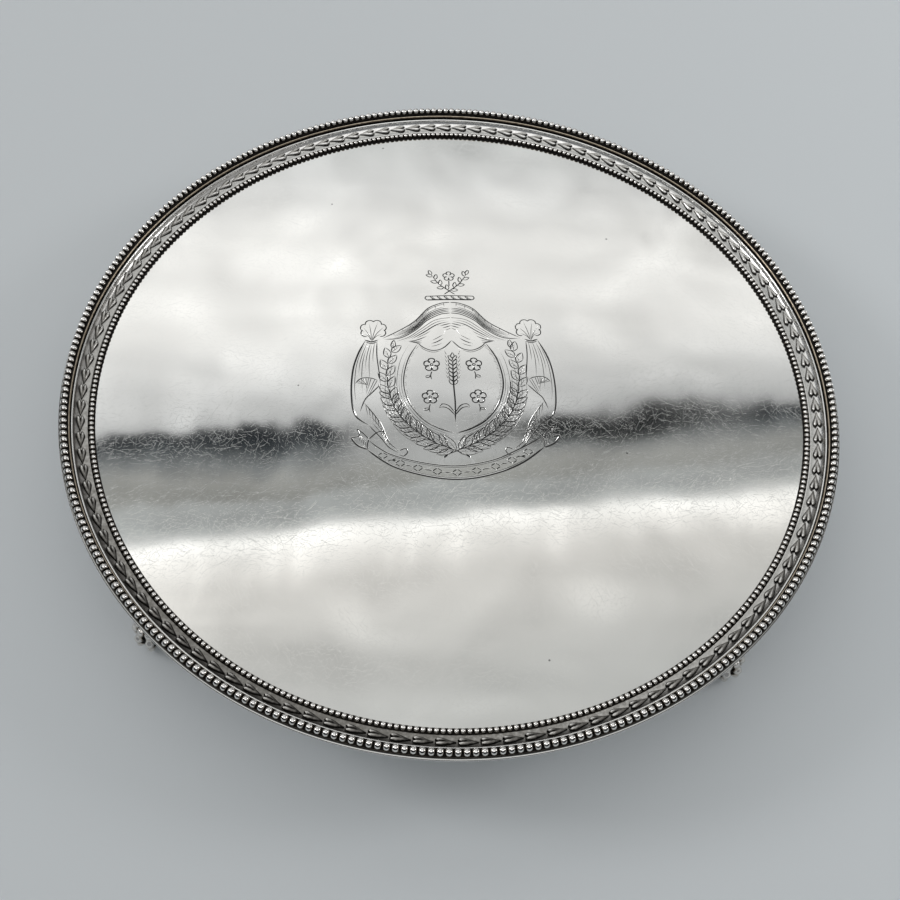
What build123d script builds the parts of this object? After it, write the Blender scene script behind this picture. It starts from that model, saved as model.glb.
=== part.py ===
"""A round silver salver: a raised plate with an applied border, on four claw-and-ball feet.

Millimetres, +Z up. The origin is on the surface that the feet stand on, under the
centre of the plate. Heights are worked upwards from the feet: the field of the plate,
the bead wire lying on it, the husk border, the step wire and the outer bead wire.
"""
import math
import os

from build123d import *

# --- Plate ---------------------------------------------------------------------------
lip_radius = 152.4  # outer edge of the flange: a twelve inch salver
sheet_thickness = 1.0
underside_height = 26.0  # underside of the flat field above the table
flange_width = 3.4  # from the lip in to the upright wall
bouge_width = 2.0  # 45 degree turn between the field and the wall
planish_height = 0.05  # the hammered field stands proud of the seat for the border

# --- Bead wires: a flat strip with a row of beads on it -------------------------------
inner_bead_radius = 1.03
inner_bead_gap = 0.13
inner_strip_height = 0.65
inner_bead_lift = 0.35  # bead centre above the top of its strip
inner_wire_lengths = 2
outer_bead_radius = 1.37
outer_bead_gap = 0.1
outer_strip_height = 1.15
outer_bead_lift = 0.45
outer_wire_lengths = 4
outer_row_inset = 2.4  # from the lip in to the bead centres
strip_margin = 0.1  # each edge of a strip beyond its beads

# --- Husk border ----------------------------------------------------------------------
border_lengths = 4
border_width = 6.25  # from the wall in to the edge of the casting
border_edge_height = 1.0  # inner edge of the casting above its seat
seat_margin = 0.85  # from the inner edge to the floor of the hollow
seat_width = 3.6  # floor of the hollow, which the husks lie on
seat_height = 1.6  # floor of the hollow above its seat
ridge_radius = 0.55
ridge_inset = 1.0  # from the wall in to the ridge's centre
ridge_height = 4.1  # ridge centre above its seat
border_top_height = 5.2  # flat shoulder of the casting above its seat
shoulder_width = 0.3  # flat shoulder that carries the step wire
husk_pitch = 7.37
husk_axis_height = 0.65  # above the floor of the hollow
husk_base_radius = 1.45
husk_tip_radius = 0.35
husk_length = 6.7
husk_lobe_radius = 0.75
husk_lobe_offset = 0.95  # side lobes from the husk's axis

# --- Step wire -------------------------------------------------------------------------
step_wire_height = 1.1
step_wire_width = 0.75
step_nose_radius = 0.5

# --- Claw-and-ball feet ------------------------------------------------------------------
foot_count = 4
first_foot_angle = 45.0
foot_overhang = 3.3  # outermost knuckle past the lip
ball_radius = 5.6
ball_flat_depth = 0.35  # worn flat that the ball stands on
talon_radius = 1.35
talon_lift = 0.85  # talon centre line above the ball
talon_spread = 60.0  # between the front talon and each side talon
talon_start_angle = 27.0  # from the top of the ball, along the ball
talon_end_angle = 104.0
knuckle_angles = (38.0, 72.0, 104.0)
knuckle_radius = 1.85
claw_length = 3.4
claw_turn = 24.0  # the claw turns in under the last knuckle
claw_tip_radius = 0.4
hub_radius = 3.7  # knob above the ball that the talons spring from
ankle_lift = 1.2  # hub centre above the top of the ball
ankle_radius = 3.0
knee_radius = 4.4
knee_inset = 4.2  # knee centre inwards of the ball's centre
knee_drop = 5.4  # knee centre below the pad's underside
bracket_radius = 4.6
pad_length = 17.0
pad_width = 13.0
pad_thickness = 1.6
pad_centre_inset = 10.5  # pad centre inwards of the ball's centre

# --- Fits ----------------------------------------------------------------------------------
solder_gap = 0.05  # solder film between curved faces and between wire ends
wire_gap = 0.07  # each side of the inner bead wire

# --- Heights, radii and counts that follow ---------------------------------------------------
seat_plane = underside_height + sheet_thickness  # what the border and inner wire lie on
border_top = seat_plane + border_top_height
flange_height = border_top + step_wire_height
wall_radius = lip_radius - flange_width
field_radius = wall_radius - bouge_width
sheet_turn = sheet_thickness * math.tan(math.radians(22.5))  # offset of a 45 degree corner
outer_row_radius = lip_radius - outer_row_inset
border_inner_radius = wall_radius - border_width
inner_row_radius = border_inner_radius - wire_gap - strip_margin - inner_bead_radius
planished_radius = inner_row_radius - inner_bead_radius - strip_margin - wire_gap
seat_inner_radius = border_inner_radius + seat_margin
seat_outer_radius = seat_inner_radius + seat_width
husk_row_radius = (seat_inner_radius + seat_outer_radius) / 2
husks_per_length = round(2 * math.pi * husk_row_radius / husk_pitch / border_lengths)
ball_height = ball_radius - ball_flat_depth
talon_path_radius = ball_radius + talon_lift
foot_centre_radius = lip_radius + foot_overhang - talon_path_radius - knuckle_radius

os.makedirs("parts", exist_ok=True)


def finish(piece: Part, label: str) -> None:
    """Label a finished piece and write it as parts/<label>.step."""
    piece.label = label
    export_step(piece, f"parts/{label}.step")


def make_plate() -> Part:
    """Planished field, 45 degree bouge, upright wall and flange."""
    with BuildPart() as plate:
        with BuildSketch(Plane.XZ):
            with BuildLine():
                Polyline(
                    (0, underside_height),
                    (field_radius + sheet_turn, underside_height),
                    (wall_radius + sheet_thickness, seat_plane + bouge_width - sheet_turn),
                    (wall_radius + sheet_thickness, flange_height - sheet_thickness),
                    (lip_radius, flange_height - sheet_thickness),
                    (lip_radius, flange_height),
                    (wall_radius, flange_height),
                    (wall_radius, seat_plane + bouge_width),
                    (field_radius, seat_plane),
                    (planished_radius, seat_plane),
                    (planished_radius, seat_plane + planish_height),
                    (0, seat_plane + planish_height),
                    close=True,
                )
            make_face()
        revolve(axis=Axis.Z)
    return plate.part


def make_bead(bead_radius: float, bead_lift: float) -> Part:
    """A bead centred on the origin, cut flat where it stands on its strip."""
    with BuildPart() as bead:
        Sphere(bead_radius)
        with BuildSketch(Plane.XY.offset(-bead_lift)):
            Circle(2 * bead_radius)
        extrude(amount=-2 * bead_radius, mode=Mode.SUBTRACT)
    return bead.part


def make_bead_wire(
    lengths: int,
    row_radius: float,
    bead_radius: float,
    bead_gap: float,
    strip_height: float,
    bead_lift: float,
    base_height: float,
) -> Part:
    """One length of beaded wire: a flat strip bent to the row's radius, beads on top."""
    span = 360 / lengths
    end_trim = math.degrees(solder_gap / row_radius)
    bead_count = round(math.radians(span) * row_radius / (2 * bead_radius + bead_gap))
    strip_top = base_height + strip_height
    bead = make_bead(bead_radius, bead_lift)
    with BuildPart() as wire:
        with BuildSketch(Plane.XZ):
            with Locations((row_radius, base_height + strip_height / 2)):
                Rectangle(2 * (bead_radius + strip_margin), strip_height)
        revolve(axis=Axis.Z, revolution_arc=span - end_trim)
        with Locations((0, 0, strip_top + bead_lift)):
            with PolarLocations(
                row_radius, bead_count, start_angle=span / bead_count / 2, angular_range=span
            ):
                add(bead)
    return wire.part


def make_husk() -> Part:
    """One husk with its axis along +X: a tapering bell with a lobe on each side."""
    with BuildPart() as husk:
        with BuildSketch(Plane.XY):
            with BuildLine():
                Polyline(
                    (-husk_length / 2, 0),
                    (-husk_length / 2, husk_base_radius),
                    (husk_length / 2, husk_tip_radius),
                    (husk_length / 2, 0),
                    close=True,
                )
            make_face()
        revolve(axis=Axis.X)
        with Locations(
            (-husk_length / 2 + husk_lobe_radius, husk_lobe_offset, 0),
            (-husk_length / 2 + husk_lobe_radius, -husk_lobe_offset, 0),
        ):
            Sphere(husk_lobe_radius)
    return husk.part


def make_husk_border() -> Part:
    """One cast length of the border: hollow band, ridge moulding and a row of husks."""
    span = 360 / border_lengths
    end_trim = math.degrees(solder_gap / husk_row_radius)
    back_radius = wall_radius - 2 * solder_gap
    shoulder_radius = back_radius - shoulder_width
    ridge_row_radius = wall_radius - ridge_inset
    ridge_centre_height = seat_plane + ridge_height
    seat_top = seat_plane + seat_height
    husk = make_husk()
    with BuildPart() as border:
        with BuildSketch(Plane.XZ):
            with BuildLine():
                Polyline(
                    (border_inner_radius, seat_plane),
                    (border_inner_radius, seat_plane + border_edge_height),
                    (seat_inner_radius, seat_top),
                    (seat_outer_radius, seat_top),
                    (ridge_row_radius - ridge_radius, ridge_centre_height),
                    (ridge_row_radius, ridge_centre_height),
                    (shoulder_radius, ridge_centre_height + ridge_radius),
                    (shoulder_radius, border_top),
                    (back_radius, border_top),
                    (back_radius, seat_plane + bouge_width),
                    (field_radius - 2 * solder_gap, seat_plane),
                    close=True,
                )
            make_face()
            with Locations((ridge_row_radius, ridge_centre_height)):
                Circle(ridge_radius)
        revolve(axis=Axis.Z, revolution_arc=span - end_trim)
        with Locations((0, 0, seat_top + husk_axis_height)):
            with PolarLocations(
                husk_row_radius,
                husks_per_length,
                start_angle=span / husks_per_length / 2,
                angular_range=span,
            ):
                with Locations(Location((0, 0, 0), (0, 0, 90))):
                    add(husk)
    return border.part


def make_step_wire() -> Part:
    """A ring of D-section wire on the border's shoulder, nose towards the centre."""
    back_radius = wall_radius - solder_gap
    nose_limit = 0.49 * min(step_wire_height, 2 * step_wire_width)
    with BuildPart() as wire:
        with BuildSketch(Plane.XZ) as section:
            with Locations(
                (back_radius - step_wire_width / 2, border_top + step_wire_height / 2)
            ):
                Rectangle(step_wire_width, step_wire_height)
            nose_corners = section.vertices().group_by(Axis.X)[0]
            fillet(nose_corners, radius=min(step_nose_radius, nose_limit))
        revolve(axis=Axis.Z)
    return wire.part


def talon_point(angle: float) -> Vector:
    """Point on a talon's centre line, by its angle from the top of the ball."""
    turn = math.radians(angle)
    return Vector(talon_path_radius * math.sin(turn), 0, talon_path_radius * math.cos(turn))


def talon_way(angle: float) -> Vector:
    """Direction of a talon's centre line at that angle, towards its claw."""
    turn = math.radians(angle)
    return Vector(math.cos(turn), 0, -math.sin(turn))


def make_talon() -> Part:
    """One talon bent over the ball in the XZ plane, ball centre at the origin."""
    claw_root = talon_point(talon_end_angle)
    claw_way = talon_way(talon_end_angle + claw_turn)
    with BuildPart() as talon:
        with BuildSketch(Plane(talon_point(talon_start_angle), z_dir=talon_way(talon_start_angle))):
            Circle(talon_radius)
        revolve(axis=Axis.Y, revolution_arc=talon_end_angle - talon_start_angle)
        with BuildSketch(Plane(claw_root, z_dir=claw_way)):
            Circle(talon_radius)
        with BuildSketch(Plane(claw_root + claw_way * claw_length, z_dir=claw_way)):
            Circle(claw_tip_radius)
        loft()
        for angle in knuckle_angles:
            with Locations(talon_point(angle)):
                Sphere(knuckle_radius)
    return talon.part


def make_foot() -> Part:
    """A cast foot standing at +X: pad, knee, ankle, four talons and the ball."""
    pad_radius = foot_centre_radius - pad_centre_inset
    pad_underside = underside_height - pad_thickness
    ankle_height = ball_height + ball_radius + ankle_lift
    talon = make_talon()
    with BuildPart() as foot:
        with BuildSketch(Plane.XY.offset(ankle_height)):
            with Locations((foot_centre_radius, 0)):
                Circle(ankle_radius)
        with BuildSketch(Plane.XY.offset(pad_underside - knee_drop)):
            with Locations((foot_centre_radius - knee_inset, 0)):
                Circle(knee_radius)
        with BuildSketch(Plane.XY.offset(pad_underside)):
            with Locations((pad_radius, 0)):
                Circle(bracket_radius)
        loft()
        with BuildSketch(Plane.XY.offset(pad_underside)):
            with Locations((pad_radius, 0)):
                Ellipse(pad_length / 2, pad_width / 2)
        extrude(amount=pad_thickness)
        with Locations((foot_centre_radius, 0, ankle_height)):
            Sphere(hub_radius)
        with Locations((foot_centre_radius, 0, ball_height)):
            Sphere(ball_radius)
        for turn in (0, talon_spread, -talon_spread, 180):
            with Locations(Location((foot_centre_radius, 0, ball_height), (0, 0, turn))):
                add(talon)
        with BuildSketch(Plane.XY):
            with Locations((foot_centre_radius, 0)):
                Circle(2 * ball_radius)
        extrude(amount=-2 * ball_radius, mode=Mode.SUBTRACT)
    return foot.part


def main() -> None:
    """Build every piece once and write one STEP file for each node."""
    finish(make_plate(), "salver_plate")

    inner_wire = make_bead_wire(
        inner_wire_lengths,
        inner_row_radius,
        inner_bead_radius,
        inner_bead_gap,
        inner_strip_height,
        inner_bead_lift,
        seat_plane,
    )
    for index in range(inner_wire_lengths):
        turned = inner_wire.rotate(Axis.Z, index * 360 / inner_wire_lengths)
        finish(turned, f"inner_bead_wire_{index + 1}")

    border = make_husk_border()
    for index in range(border_lengths):
        finish(border.rotate(Axis.Z, index * 360 / border_lengths), f"husk_border_{index + 1}")

    finish(make_step_wire(), "step_wire")

    outer_wire = make_bead_wire(
        outer_wire_lengths,
        outer_row_radius,
        outer_bead_radius,
        outer_bead_gap,
        outer_strip_height,
        outer_bead_lift,
        flange_height,
    )
    for index in range(outer_wire_lengths):
        turned = outer_wire.rotate(Axis.Z, index * 360 / outer_wire_lengths)
        finish(turned, f"outer_bead_wire_{index + 1}")

    foot = make_foot()
    for index in range(foot_count):
        angle = first_foot_angle + index * 360 / foot_count
        finish(foot.rotate(Axis.Z, angle), f"foot_{index + 1}")


if __name__ == "__main__":
    main()
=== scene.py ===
"""A round silver salver: looks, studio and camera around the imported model.

The plate carries an engraved cartouche cut as real grooves. The border is a hollow
band with a row of husks between two bead wires, and the feet are claw-and-ball
castings. Everything is in metres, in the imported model's own frame.
"""

from __future__ import annotations

import logging
import math
import sys
from dataclasses import dataclass, field, replace
from enum import Enum
from typing import ClassVar, Sequence

import bmesh
import bpy
import numpy as np
from mathutils import Matrix, Vector
from mathutils.geometry import delaunay_2d_cdt
from mathutils.kdtree import KDTree


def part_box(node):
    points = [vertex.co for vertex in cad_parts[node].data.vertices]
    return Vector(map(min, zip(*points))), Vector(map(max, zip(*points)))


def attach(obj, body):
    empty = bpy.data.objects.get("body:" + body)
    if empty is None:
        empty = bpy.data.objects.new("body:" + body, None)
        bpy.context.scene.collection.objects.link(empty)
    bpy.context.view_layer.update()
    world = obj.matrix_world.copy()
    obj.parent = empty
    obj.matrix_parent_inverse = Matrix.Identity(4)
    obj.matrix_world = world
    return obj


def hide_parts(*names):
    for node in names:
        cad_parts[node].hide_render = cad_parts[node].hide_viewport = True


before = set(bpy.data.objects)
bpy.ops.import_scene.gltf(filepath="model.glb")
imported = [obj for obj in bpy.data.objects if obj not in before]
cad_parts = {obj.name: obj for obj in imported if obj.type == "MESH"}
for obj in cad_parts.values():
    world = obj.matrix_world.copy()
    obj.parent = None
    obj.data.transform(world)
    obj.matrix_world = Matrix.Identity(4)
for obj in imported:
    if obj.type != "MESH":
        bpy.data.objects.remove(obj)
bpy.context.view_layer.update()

MM = 0.001
AXIS = (0.0, 0.0)
# Name of the per-point mask that darkens and dulls the silver: tarnish in hollows, and painted shade on bead
# undersides, husk flanks, one side of the border and the feet.
TARNISH_AND_SHADE = "tarnish"
BODY = "root"

log = logging.getLogger("salver")

Point2 = tuple[float, float]
Point3 = tuple[float, float, float]
Colour = tuple[float, float, float, float]
Face = tuple[int, ...]


# --- Small mesh helpers --------------------------------------------------------------


def polar(centre: Sequence[float], radius: float, turn: float) -> Point2:
    """Point at a distance from a centre, at an angle in radians."""
    return (centre[0] + radius * math.cos(turn), centre[1] + radius * math.sin(turn))


def new_mesh(
    name: str, verts: Sequence[Point3], faces: Sequence[Face], tarnish: Sequence[float] = ()
) -> bpy.types.Mesh:
    """Make a mesh, and store each point's tarnish and painted shade if they are given.

    Args:
        name: Its name.
        verts: Its points.
        faces: Point numbers of each face.
        tarnish: How oxidised each point is, or how deep in painted shade.

    Returns:
        The mesh.
    """
    mesh = bpy.data.meshes.new(name)
    mesh.from_pydata(verts, [], faces)
    if len(tarnish):
        store_tarnish_and_shade(mesh, tarnish)
    return mesh


def store_tarnish_and_shade(mesh: bpy.types.Mesh, values: Sequence[float]) -> None:
    """Store how dark and dull each point is, from 0 for bright to 1 for oxidised or deep in painted shade."""
    layer = mesh.attributes.new(TARNISH_AND_SHADE, "FLOAT", "POINT")
    layer.data.foreach_set("value", np.asarray(values, np.float32))


def link(name: str, mesh: bpy.types.Mesh) -> bpy.types.Object:
    """Make an object of a mesh, at the origin, in the scene.

    Args:
        name: Its name.
        mesh: Its mesh.

    Returns:
        The object.
    """
    piece = bpy.data.objects.new(name, mesh)
    bpy.context.scene.collection.objects.link(piece)
    return piece


def fixed_to(piece: bpy.types.Object, slot: str, *nodes: str) -> None:
    """Fix a finished piece to the salver's one body, in place of its CAD nodes.

    Args:
        piece: The finished object.
        slot: The record's material slot for it; not used.
        nodes: The CAD nodes that it stands for.
    """
    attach(piece, BODY)
    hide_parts(*nodes)


def smooth_by_angle(mesh: bpy.types.Mesh, degrees: float) -> None:
    """Shade a mesh smooth, with edges sharper than the angle left hard."""
    mesh.shade_smooth()
    mesh.set_sharp_from_angle(angle=math.radians(degrees))


def make_outward(mesh: bpy.types.Mesh) -> None:
    """Turn every face of a closed mesh outwards.

    Args:
        mesh: The mesh to change.
    """
    work = bmesh.new()
    work.from_mesh(mesh)
    bmesh.ops.recalc_face_normals(work, faces=work.faces)
    work.to_mesh(mesh)
    work.free()


def baked(holder: bpy.types.Object) -> bpy.types.Mesh:
    """Keep what an object's modifiers make as a plain mesh, and remove the object.

    Args:
        holder: The object with its modifiers.

    Returns:
        The plain mesh.
    """
    bpy.context.view_layer.update()
    evaluated = holder.evaluated_get(bpy.context.evaluated_depsgraph_get())
    mesh = bpy.data.meshes.new_from_object(evaluated)
    holder.modifiers.clear()
    bpy.data.objects.remove(holder)
    return mesh


def join_meshes(name: str, parts: Sequence[bpy.types.Mesh], finish: bpy.types.Material) -> bpy.types.Mesh:
    """Join meshes into one of a single material, keeping their tarnish.

    Args:
        name: Name of the new mesh.
        parts: The meshes to join.
        finish: The material of the whole.

    Returns:
        The joined mesh.
    """
    verts: list[Point3] = []
    faces: list[Face] = []
    values: list[float] = []
    for part in parts:
        start = len(verts)
        verts.extend(tuple(vert.co) for vert in part.vertices)
        faces.extend(tuple(start + index for index in face.vertices) for face in part.polygons)
        values.extend(item.value for item in part.attributes[TARNISH_AND_SHADE].data)
    mesh = new_mesh(name, verts, faces, values)
    mesh.materials.append(finish)
    return mesh


@dataclass(frozen=True)
class Station:
    """One point of a moulding's section.

    Args:
        radius: Distance from the salver's axis, in millimetres.
        height: Height above the table, in millimetres.
        tarnish: How oxidised the metal is there.
    """

    radius: float
    height: float
    tarnish: float


def revolved(name: str, section: Sequence[Station], segments: int, span: float = 360.0) -> bpy.types.Mesh:
    """Turn a closed section about the salver's axis into a closed mesh.

    Args:
        name: Name of the mesh.
        section: The closed outline, anticlockwise with outwards to the right.
        segments: Steps round the turn.
        span: Angle turned through in degrees; under 360 the ends are capped.

    Returns:
        The mesh, in metres, with its tarnish stored.
    """
    whole = span >= 360.0
    rings = segments if whole else segments + 1
    count = len(section)
    verts = [
        (*polar(AXIS, station.radius * MM, math.radians(span * ring / segments)), station.height * MM)
        for ring in range(rings)
        for station in section
    ]
    faces: list[Face] = []
    for ring in range(segments):
        here = ring * count
        there = ((ring + 1) % rings) * count
        for index in range(count):
            after = (index + 1) % count
            faces.append((here + index, there + index, there + after, here + after))
    if not whole:
        faces.append(tuple(range(count)))
        faces.append(tuple(reversed(range(segments * count, (segments + 1) * count))))
    mesh = new_mesh(name, verts, faces, [station.tarnish for station in section] * rings)
    make_outward(mesh)
    return mesh


# --- Node trees ----------------------------------------------------------------------------


class Value:
    """A number on a node's output, whose arithmetic places Math nodes.

    Args:
        nodes: Helper of the tree it lives in.
        socket: The output socket.
    """

    def __init__(self, nodes: Nodes, socket: bpy.types.NodeSocket) -> None:
        """Keep the tree's helper and the socket."""
        self.nodes = nodes
        self.socket = socket

    def __add__(self, other: Feed) -> Value:
        """Sum."""
        return self.nodes.math("ADD", self, other)

    def __mul__(self, other: Feed) -> Value:
        """Product."""
        return self.nodes.math("MULTIPLY", self, other)

    __radd__ = __add__
    __rmul__ = __mul__

    def __sub__(self, other: Feed) -> Value:
        """Difference."""
        return self.nodes.math("SUBTRACT", self, other)

    def __rsub__(self, other: Feed) -> Value:
        """Difference, the other way round."""
        return self.nodes.math("SUBTRACT", other, self)

    def __truediv__(self, other: Feed) -> Value:
        """Quotient."""
        return self.nodes.math("DIVIDE", self, other)

    def __pow__(self, other: float) -> Value:
        """Power."""
        return self.nodes.math("POWER", self, other)

    def __abs__(self) -> Value:
        """Size without the sign."""
        return self.nodes.math("ABSOLUTE", self)

    def clamped(self) -> Value:
        """Keep the sum that was just made between 0 and 1."""
        self.socket.node.use_clamp = True
        return self


Feed = Value | bpy.types.NodeSocket | float | tuple[float, ...]


class Nodes:
    """Short ways to place and join nodes in one tree.

    Args:
        tree: The node tree to work in.
    """

    def __init__(self, tree: bpy.types.NodeTree) -> None:
        """Keep the tree."""
        self.tree = tree

    def add(
        self, kind: str, feeds: dict[str | int, Feed] | None = None, **settings: object
    ) -> bpy.types.Node:
        """Place a node, set its properties and then feed its inputs.

        Args:
            kind: The node's type.
            feeds: What goes into each input, by its name or number.
            settings: The node's properties.

        Returns:
            The node.
        """
        node = self.tree.nodes.new(kind)
        for name, value in settings.items():
            setattr(node, name, value)
        for slot, value in (feeds or {}).items():
            self.feed(value, node.inputs[slot])
        return node

    def feed(self, value: Feed, target: bpy.types.NodeSocket) -> None:
        """Join a value or a socket to an input, or set the input to a constant.

        Args:
            value: What goes in.
            target: The input.
        """
        source = value.socket if isinstance(value, Value) else value
        if isinstance(source, bpy.types.NodeSocket):
            self.tree.links.new(source, target)
        else:
            target.default_value = source

    def value(
        self, kind: str, feeds: dict[str | int, Feed] | None = None, output: str | int = 0, **settings: object
    ) -> Value:
        """Place a node, as add does, and take one of its outputs as a value."""
        return Value(self, self.add(kind, feeds, **settings).outputs[output])

    def math(self, operation: str, *values: Feed) -> Value:
        """Place a Math node."""
        return self.value("ShaderNodeMath", dict(enumerate(values)), operation=operation)

    def split(self, whole: Feed, kind: str = "XYZ") -> list[Value]:
        """The three parts of a vector or of a colour."""
        node = self.add(f"ShaderNodeSeparate{kind}", {0: whole})
        return [Value(self, socket) for socket in node.outputs]

    def noise(self, place: Feed, scale: Feed, detail: float, **more: float) -> Value:
        """Noise at a place; further inputs are given by their names."""
        return self.value("ShaderNodeTexNoise", {"Vector": place, "Scale": scale, "Detail": detail, **more})

    def mix_colour(self, share: Feed, first: Feed, second: Feed) -> Value:
        """Mix two colours by a share."""
        return self.value("ShaderNodeMix", {0: share, 6: first, 7: second}, 2, data_type="RGBA")

    def mix_shader(self, share: Feed, first: Feed, second: Feed) -> Value:
        """Mix two shaders by a share."""
        return self.value("ShaderNodeMixShader", {0: share, 1: first, 2: second})

    def bump(self, height: Feed, distance: float, below: Value | None = None, **settings: object) -> Value:
        """Bump the surface, over another bump if there is one.

        Args:
            height: Height, from 0 to 1.
            distance: Full height, in metres.
            below: The bump it lies on.
            settings: The node's properties.

        Returns:
            The bumped normal.
        """
        feeds = {"Strength": 1.0, "Distance": distance, "Height": height}
        if below is not None:
            feeds["Normal"] = below
        return self.value("ShaderNodeBump", feeds, **settings)

    def place(self) -> Value:
        """Where a point is in its object's own frame."""
        return self.value("ShaderNodeTexCoord", output="Object")

    def emission(self, colour: Feed, strength: Feed = 1.0) -> Value:
        """A glow."""
        return self.value("ShaderNodeEmission", {"Color": colour, "Strength": strength})

    def is_seen(self) -> Value:
        """1 for the camera's own rays and 0 for all others."""
        return self.value("ShaderNodeLightPath", output="Is Camera Ray")


def new_material(name: str) -> tuple[bpy.types.Material, Nodes]:
    """Start a material with an empty tree.

    Args:
        name: Its name.

    Returns:
        The material and the helper of its tree.
    """
    material = bpy.data.materials.new(name)
    material.use_nodes = True
    material.node_tree.nodes.clear()
    return material, Nodes(material.node_tree)


def new_group(
    name: str, inputs: dict[str, tuple[str, object]], outputs: dict[str, str]
) -> tuple[Nodes, dict[str, Value], bpy.types.Node]:
    """Start a shader node group.

    Args:
        name: The group's name.
        inputs: Socket kind and default for each input.
        outputs: Socket kind for each output.

    Returns:
        The group's helper, its inputs by name and its output node.
    """
    tree = bpy.data.node_groups.new(name, "ShaderNodeTree")
    for label, (kind, default) in inputs.items():
        socket = tree.interface.new_socket(label, in_out="INPUT", socket_type=f"NodeSocket{kind}")
        if default is not None:
            socket.default_value = default
    for label, kind in outputs.items():
        tree.interface.new_socket(label, in_out="OUTPUT", socket_type=f"NodeSocket{kind}")
    nodes = Nodes(tree)
    source = nodes.add("NodeGroupInput")
    given = {label: Value(nodes, source.outputs[label]) for label in inputs}
    return nodes, given, nodes.add("NodeGroupOutput")


# --- Rows round the axis, by Geometry Nodes -----------------------------------------------


class RowInput(Enum):
    """Inputs of the row tree: the name and the kind of each."""

    ITEM = ("Item", "Object")
    COUNT = ("Count", "Int")
    ROW_RADIUS = ("Row radius", "Float")
    HEIGHT = ("Height", "Float")
    FIRST_ANGLE = ("First angle", "Float")
    STEP_ANGLE = ("Step angle", "Float")
    SIZE_JITTER = ("Size jitter", "Float")
    SEED = ("Seed", "Int")
    FINISH = ("Finish", "Material")


def row_tree() -> bpy.types.NodeTree:
    """Build Geometry Nodes that set copies of an item in a row round the salver's axis.

    Returns:
        The finished node tree.
    """
    tree = bpy.data.node_groups.new("row_round_axis", "GeometryNodeTree")
    for label, kind in (key.value for key in RowInput):
        tree.interface.new_socket(label, in_out="INPUT", socket_type=f"NodeSocket{kind}")
    tree.interface.new_socket("Geometry", in_out="OUTPUT", socket_type="NodeSocketGeometry")
    nodes = Nodes(tree)
    source = nodes.add("NodeGroupInput")
    given = {key: Value(nodes, source.outputs[key.value[0]]) for key in RowInput}
    target = nodes.add("NodeGroupOutput")
    points = nodes.value("GeometryNodePoints", {"Count": given[RowInput.COUNT]})
    index = nodes.value("GeometryNodeInputIndex")
    angle = index * given[RowInput.STEP_ANGLE] + given[RowInput.FIRST_ANGLE]
    spot = {
        "X": nodes.math("COSINE", angle) * given[RowInput.ROW_RADIUS],
        "Y": nodes.math("SINE", angle) * given[RowInput.ROW_RADIUS],
        "Z": given[RowInput.HEIGHT],
    }
    spot = nodes.value("ShaderNodeCombineXYZ", spot)
    seats = nodes.value("GeometryNodeSetPosition", {"Geometry": points, "Position": spot})
    facing = nodes.value("ShaderNodeCombineXYZ", {"Z": angle + math.pi / 2})
    jitter = given[RowInput.SIZE_JITTER]
    sizes = {2: 1.0 - jitter, 3: 1.0 + jitter, "Seed": given[RowInput.SEED]}
    size = nodes.value("FunctionNodeRandomValue", sizes, 1, data_type="FLOAT")
    item = nodes.value(
        "GeometryNodeObjectInfo", {"Object": given[RowInput.ITEM]}, "Geometry", transform_space="ORIGINAL"
    )
    feeds = {"Points": seats, "Instance": item, "Rotation": facing, "Scale": size}
    copies = nodes.value("GeometryNodeInstanceOnPoints", feeds)
    real = nodes.value("GeometryNodeRealizeInstances", {0: copies})
    dressed = nodes.value("GeometryNodeSetMaterial", {"Geometry": real, "Material": given[RowInput.FINISH]})
    nodes.feed(dressed, target.inputs[0])
    return tree


def row_mesh(
    tree: bpy.types.NodeTree, item: bpy.types.Object, name: str, values: dict[RowInput, object]
) -> bpy.types.Mesh:
    """Run the row tree once and keep the result as a plain mesh.

    Args:
        tree: The row tree.
        item: The object that is repeated.
        name: Name for the new mesh.
        values: A value for each of the tree's inputs but the item.

    Returns:
        The finished mesh.
    """
    holder = link(f"{name}_holder", bpy.data.meshes.new(f"{name}_holder"))
    modifier = holder.modifiers.new("row", "NODES")
    modifier.node_group = tree
    identifiers = {
        socket.name: socket.identifier
        for socket in tree.interface.items_tree
        if socket.item_type == "SOCKET" and socket.in_out == "INPUT"
    }
    for key, value in {RowInput.ITEM: item, **values}.items():
        modifier[identifiers[key.value[0]]] = value
    mesh = baked(holder)
    mesh.name = name
    return mesh


# --- Finishes ------------------------------------------------------------------------------


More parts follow.
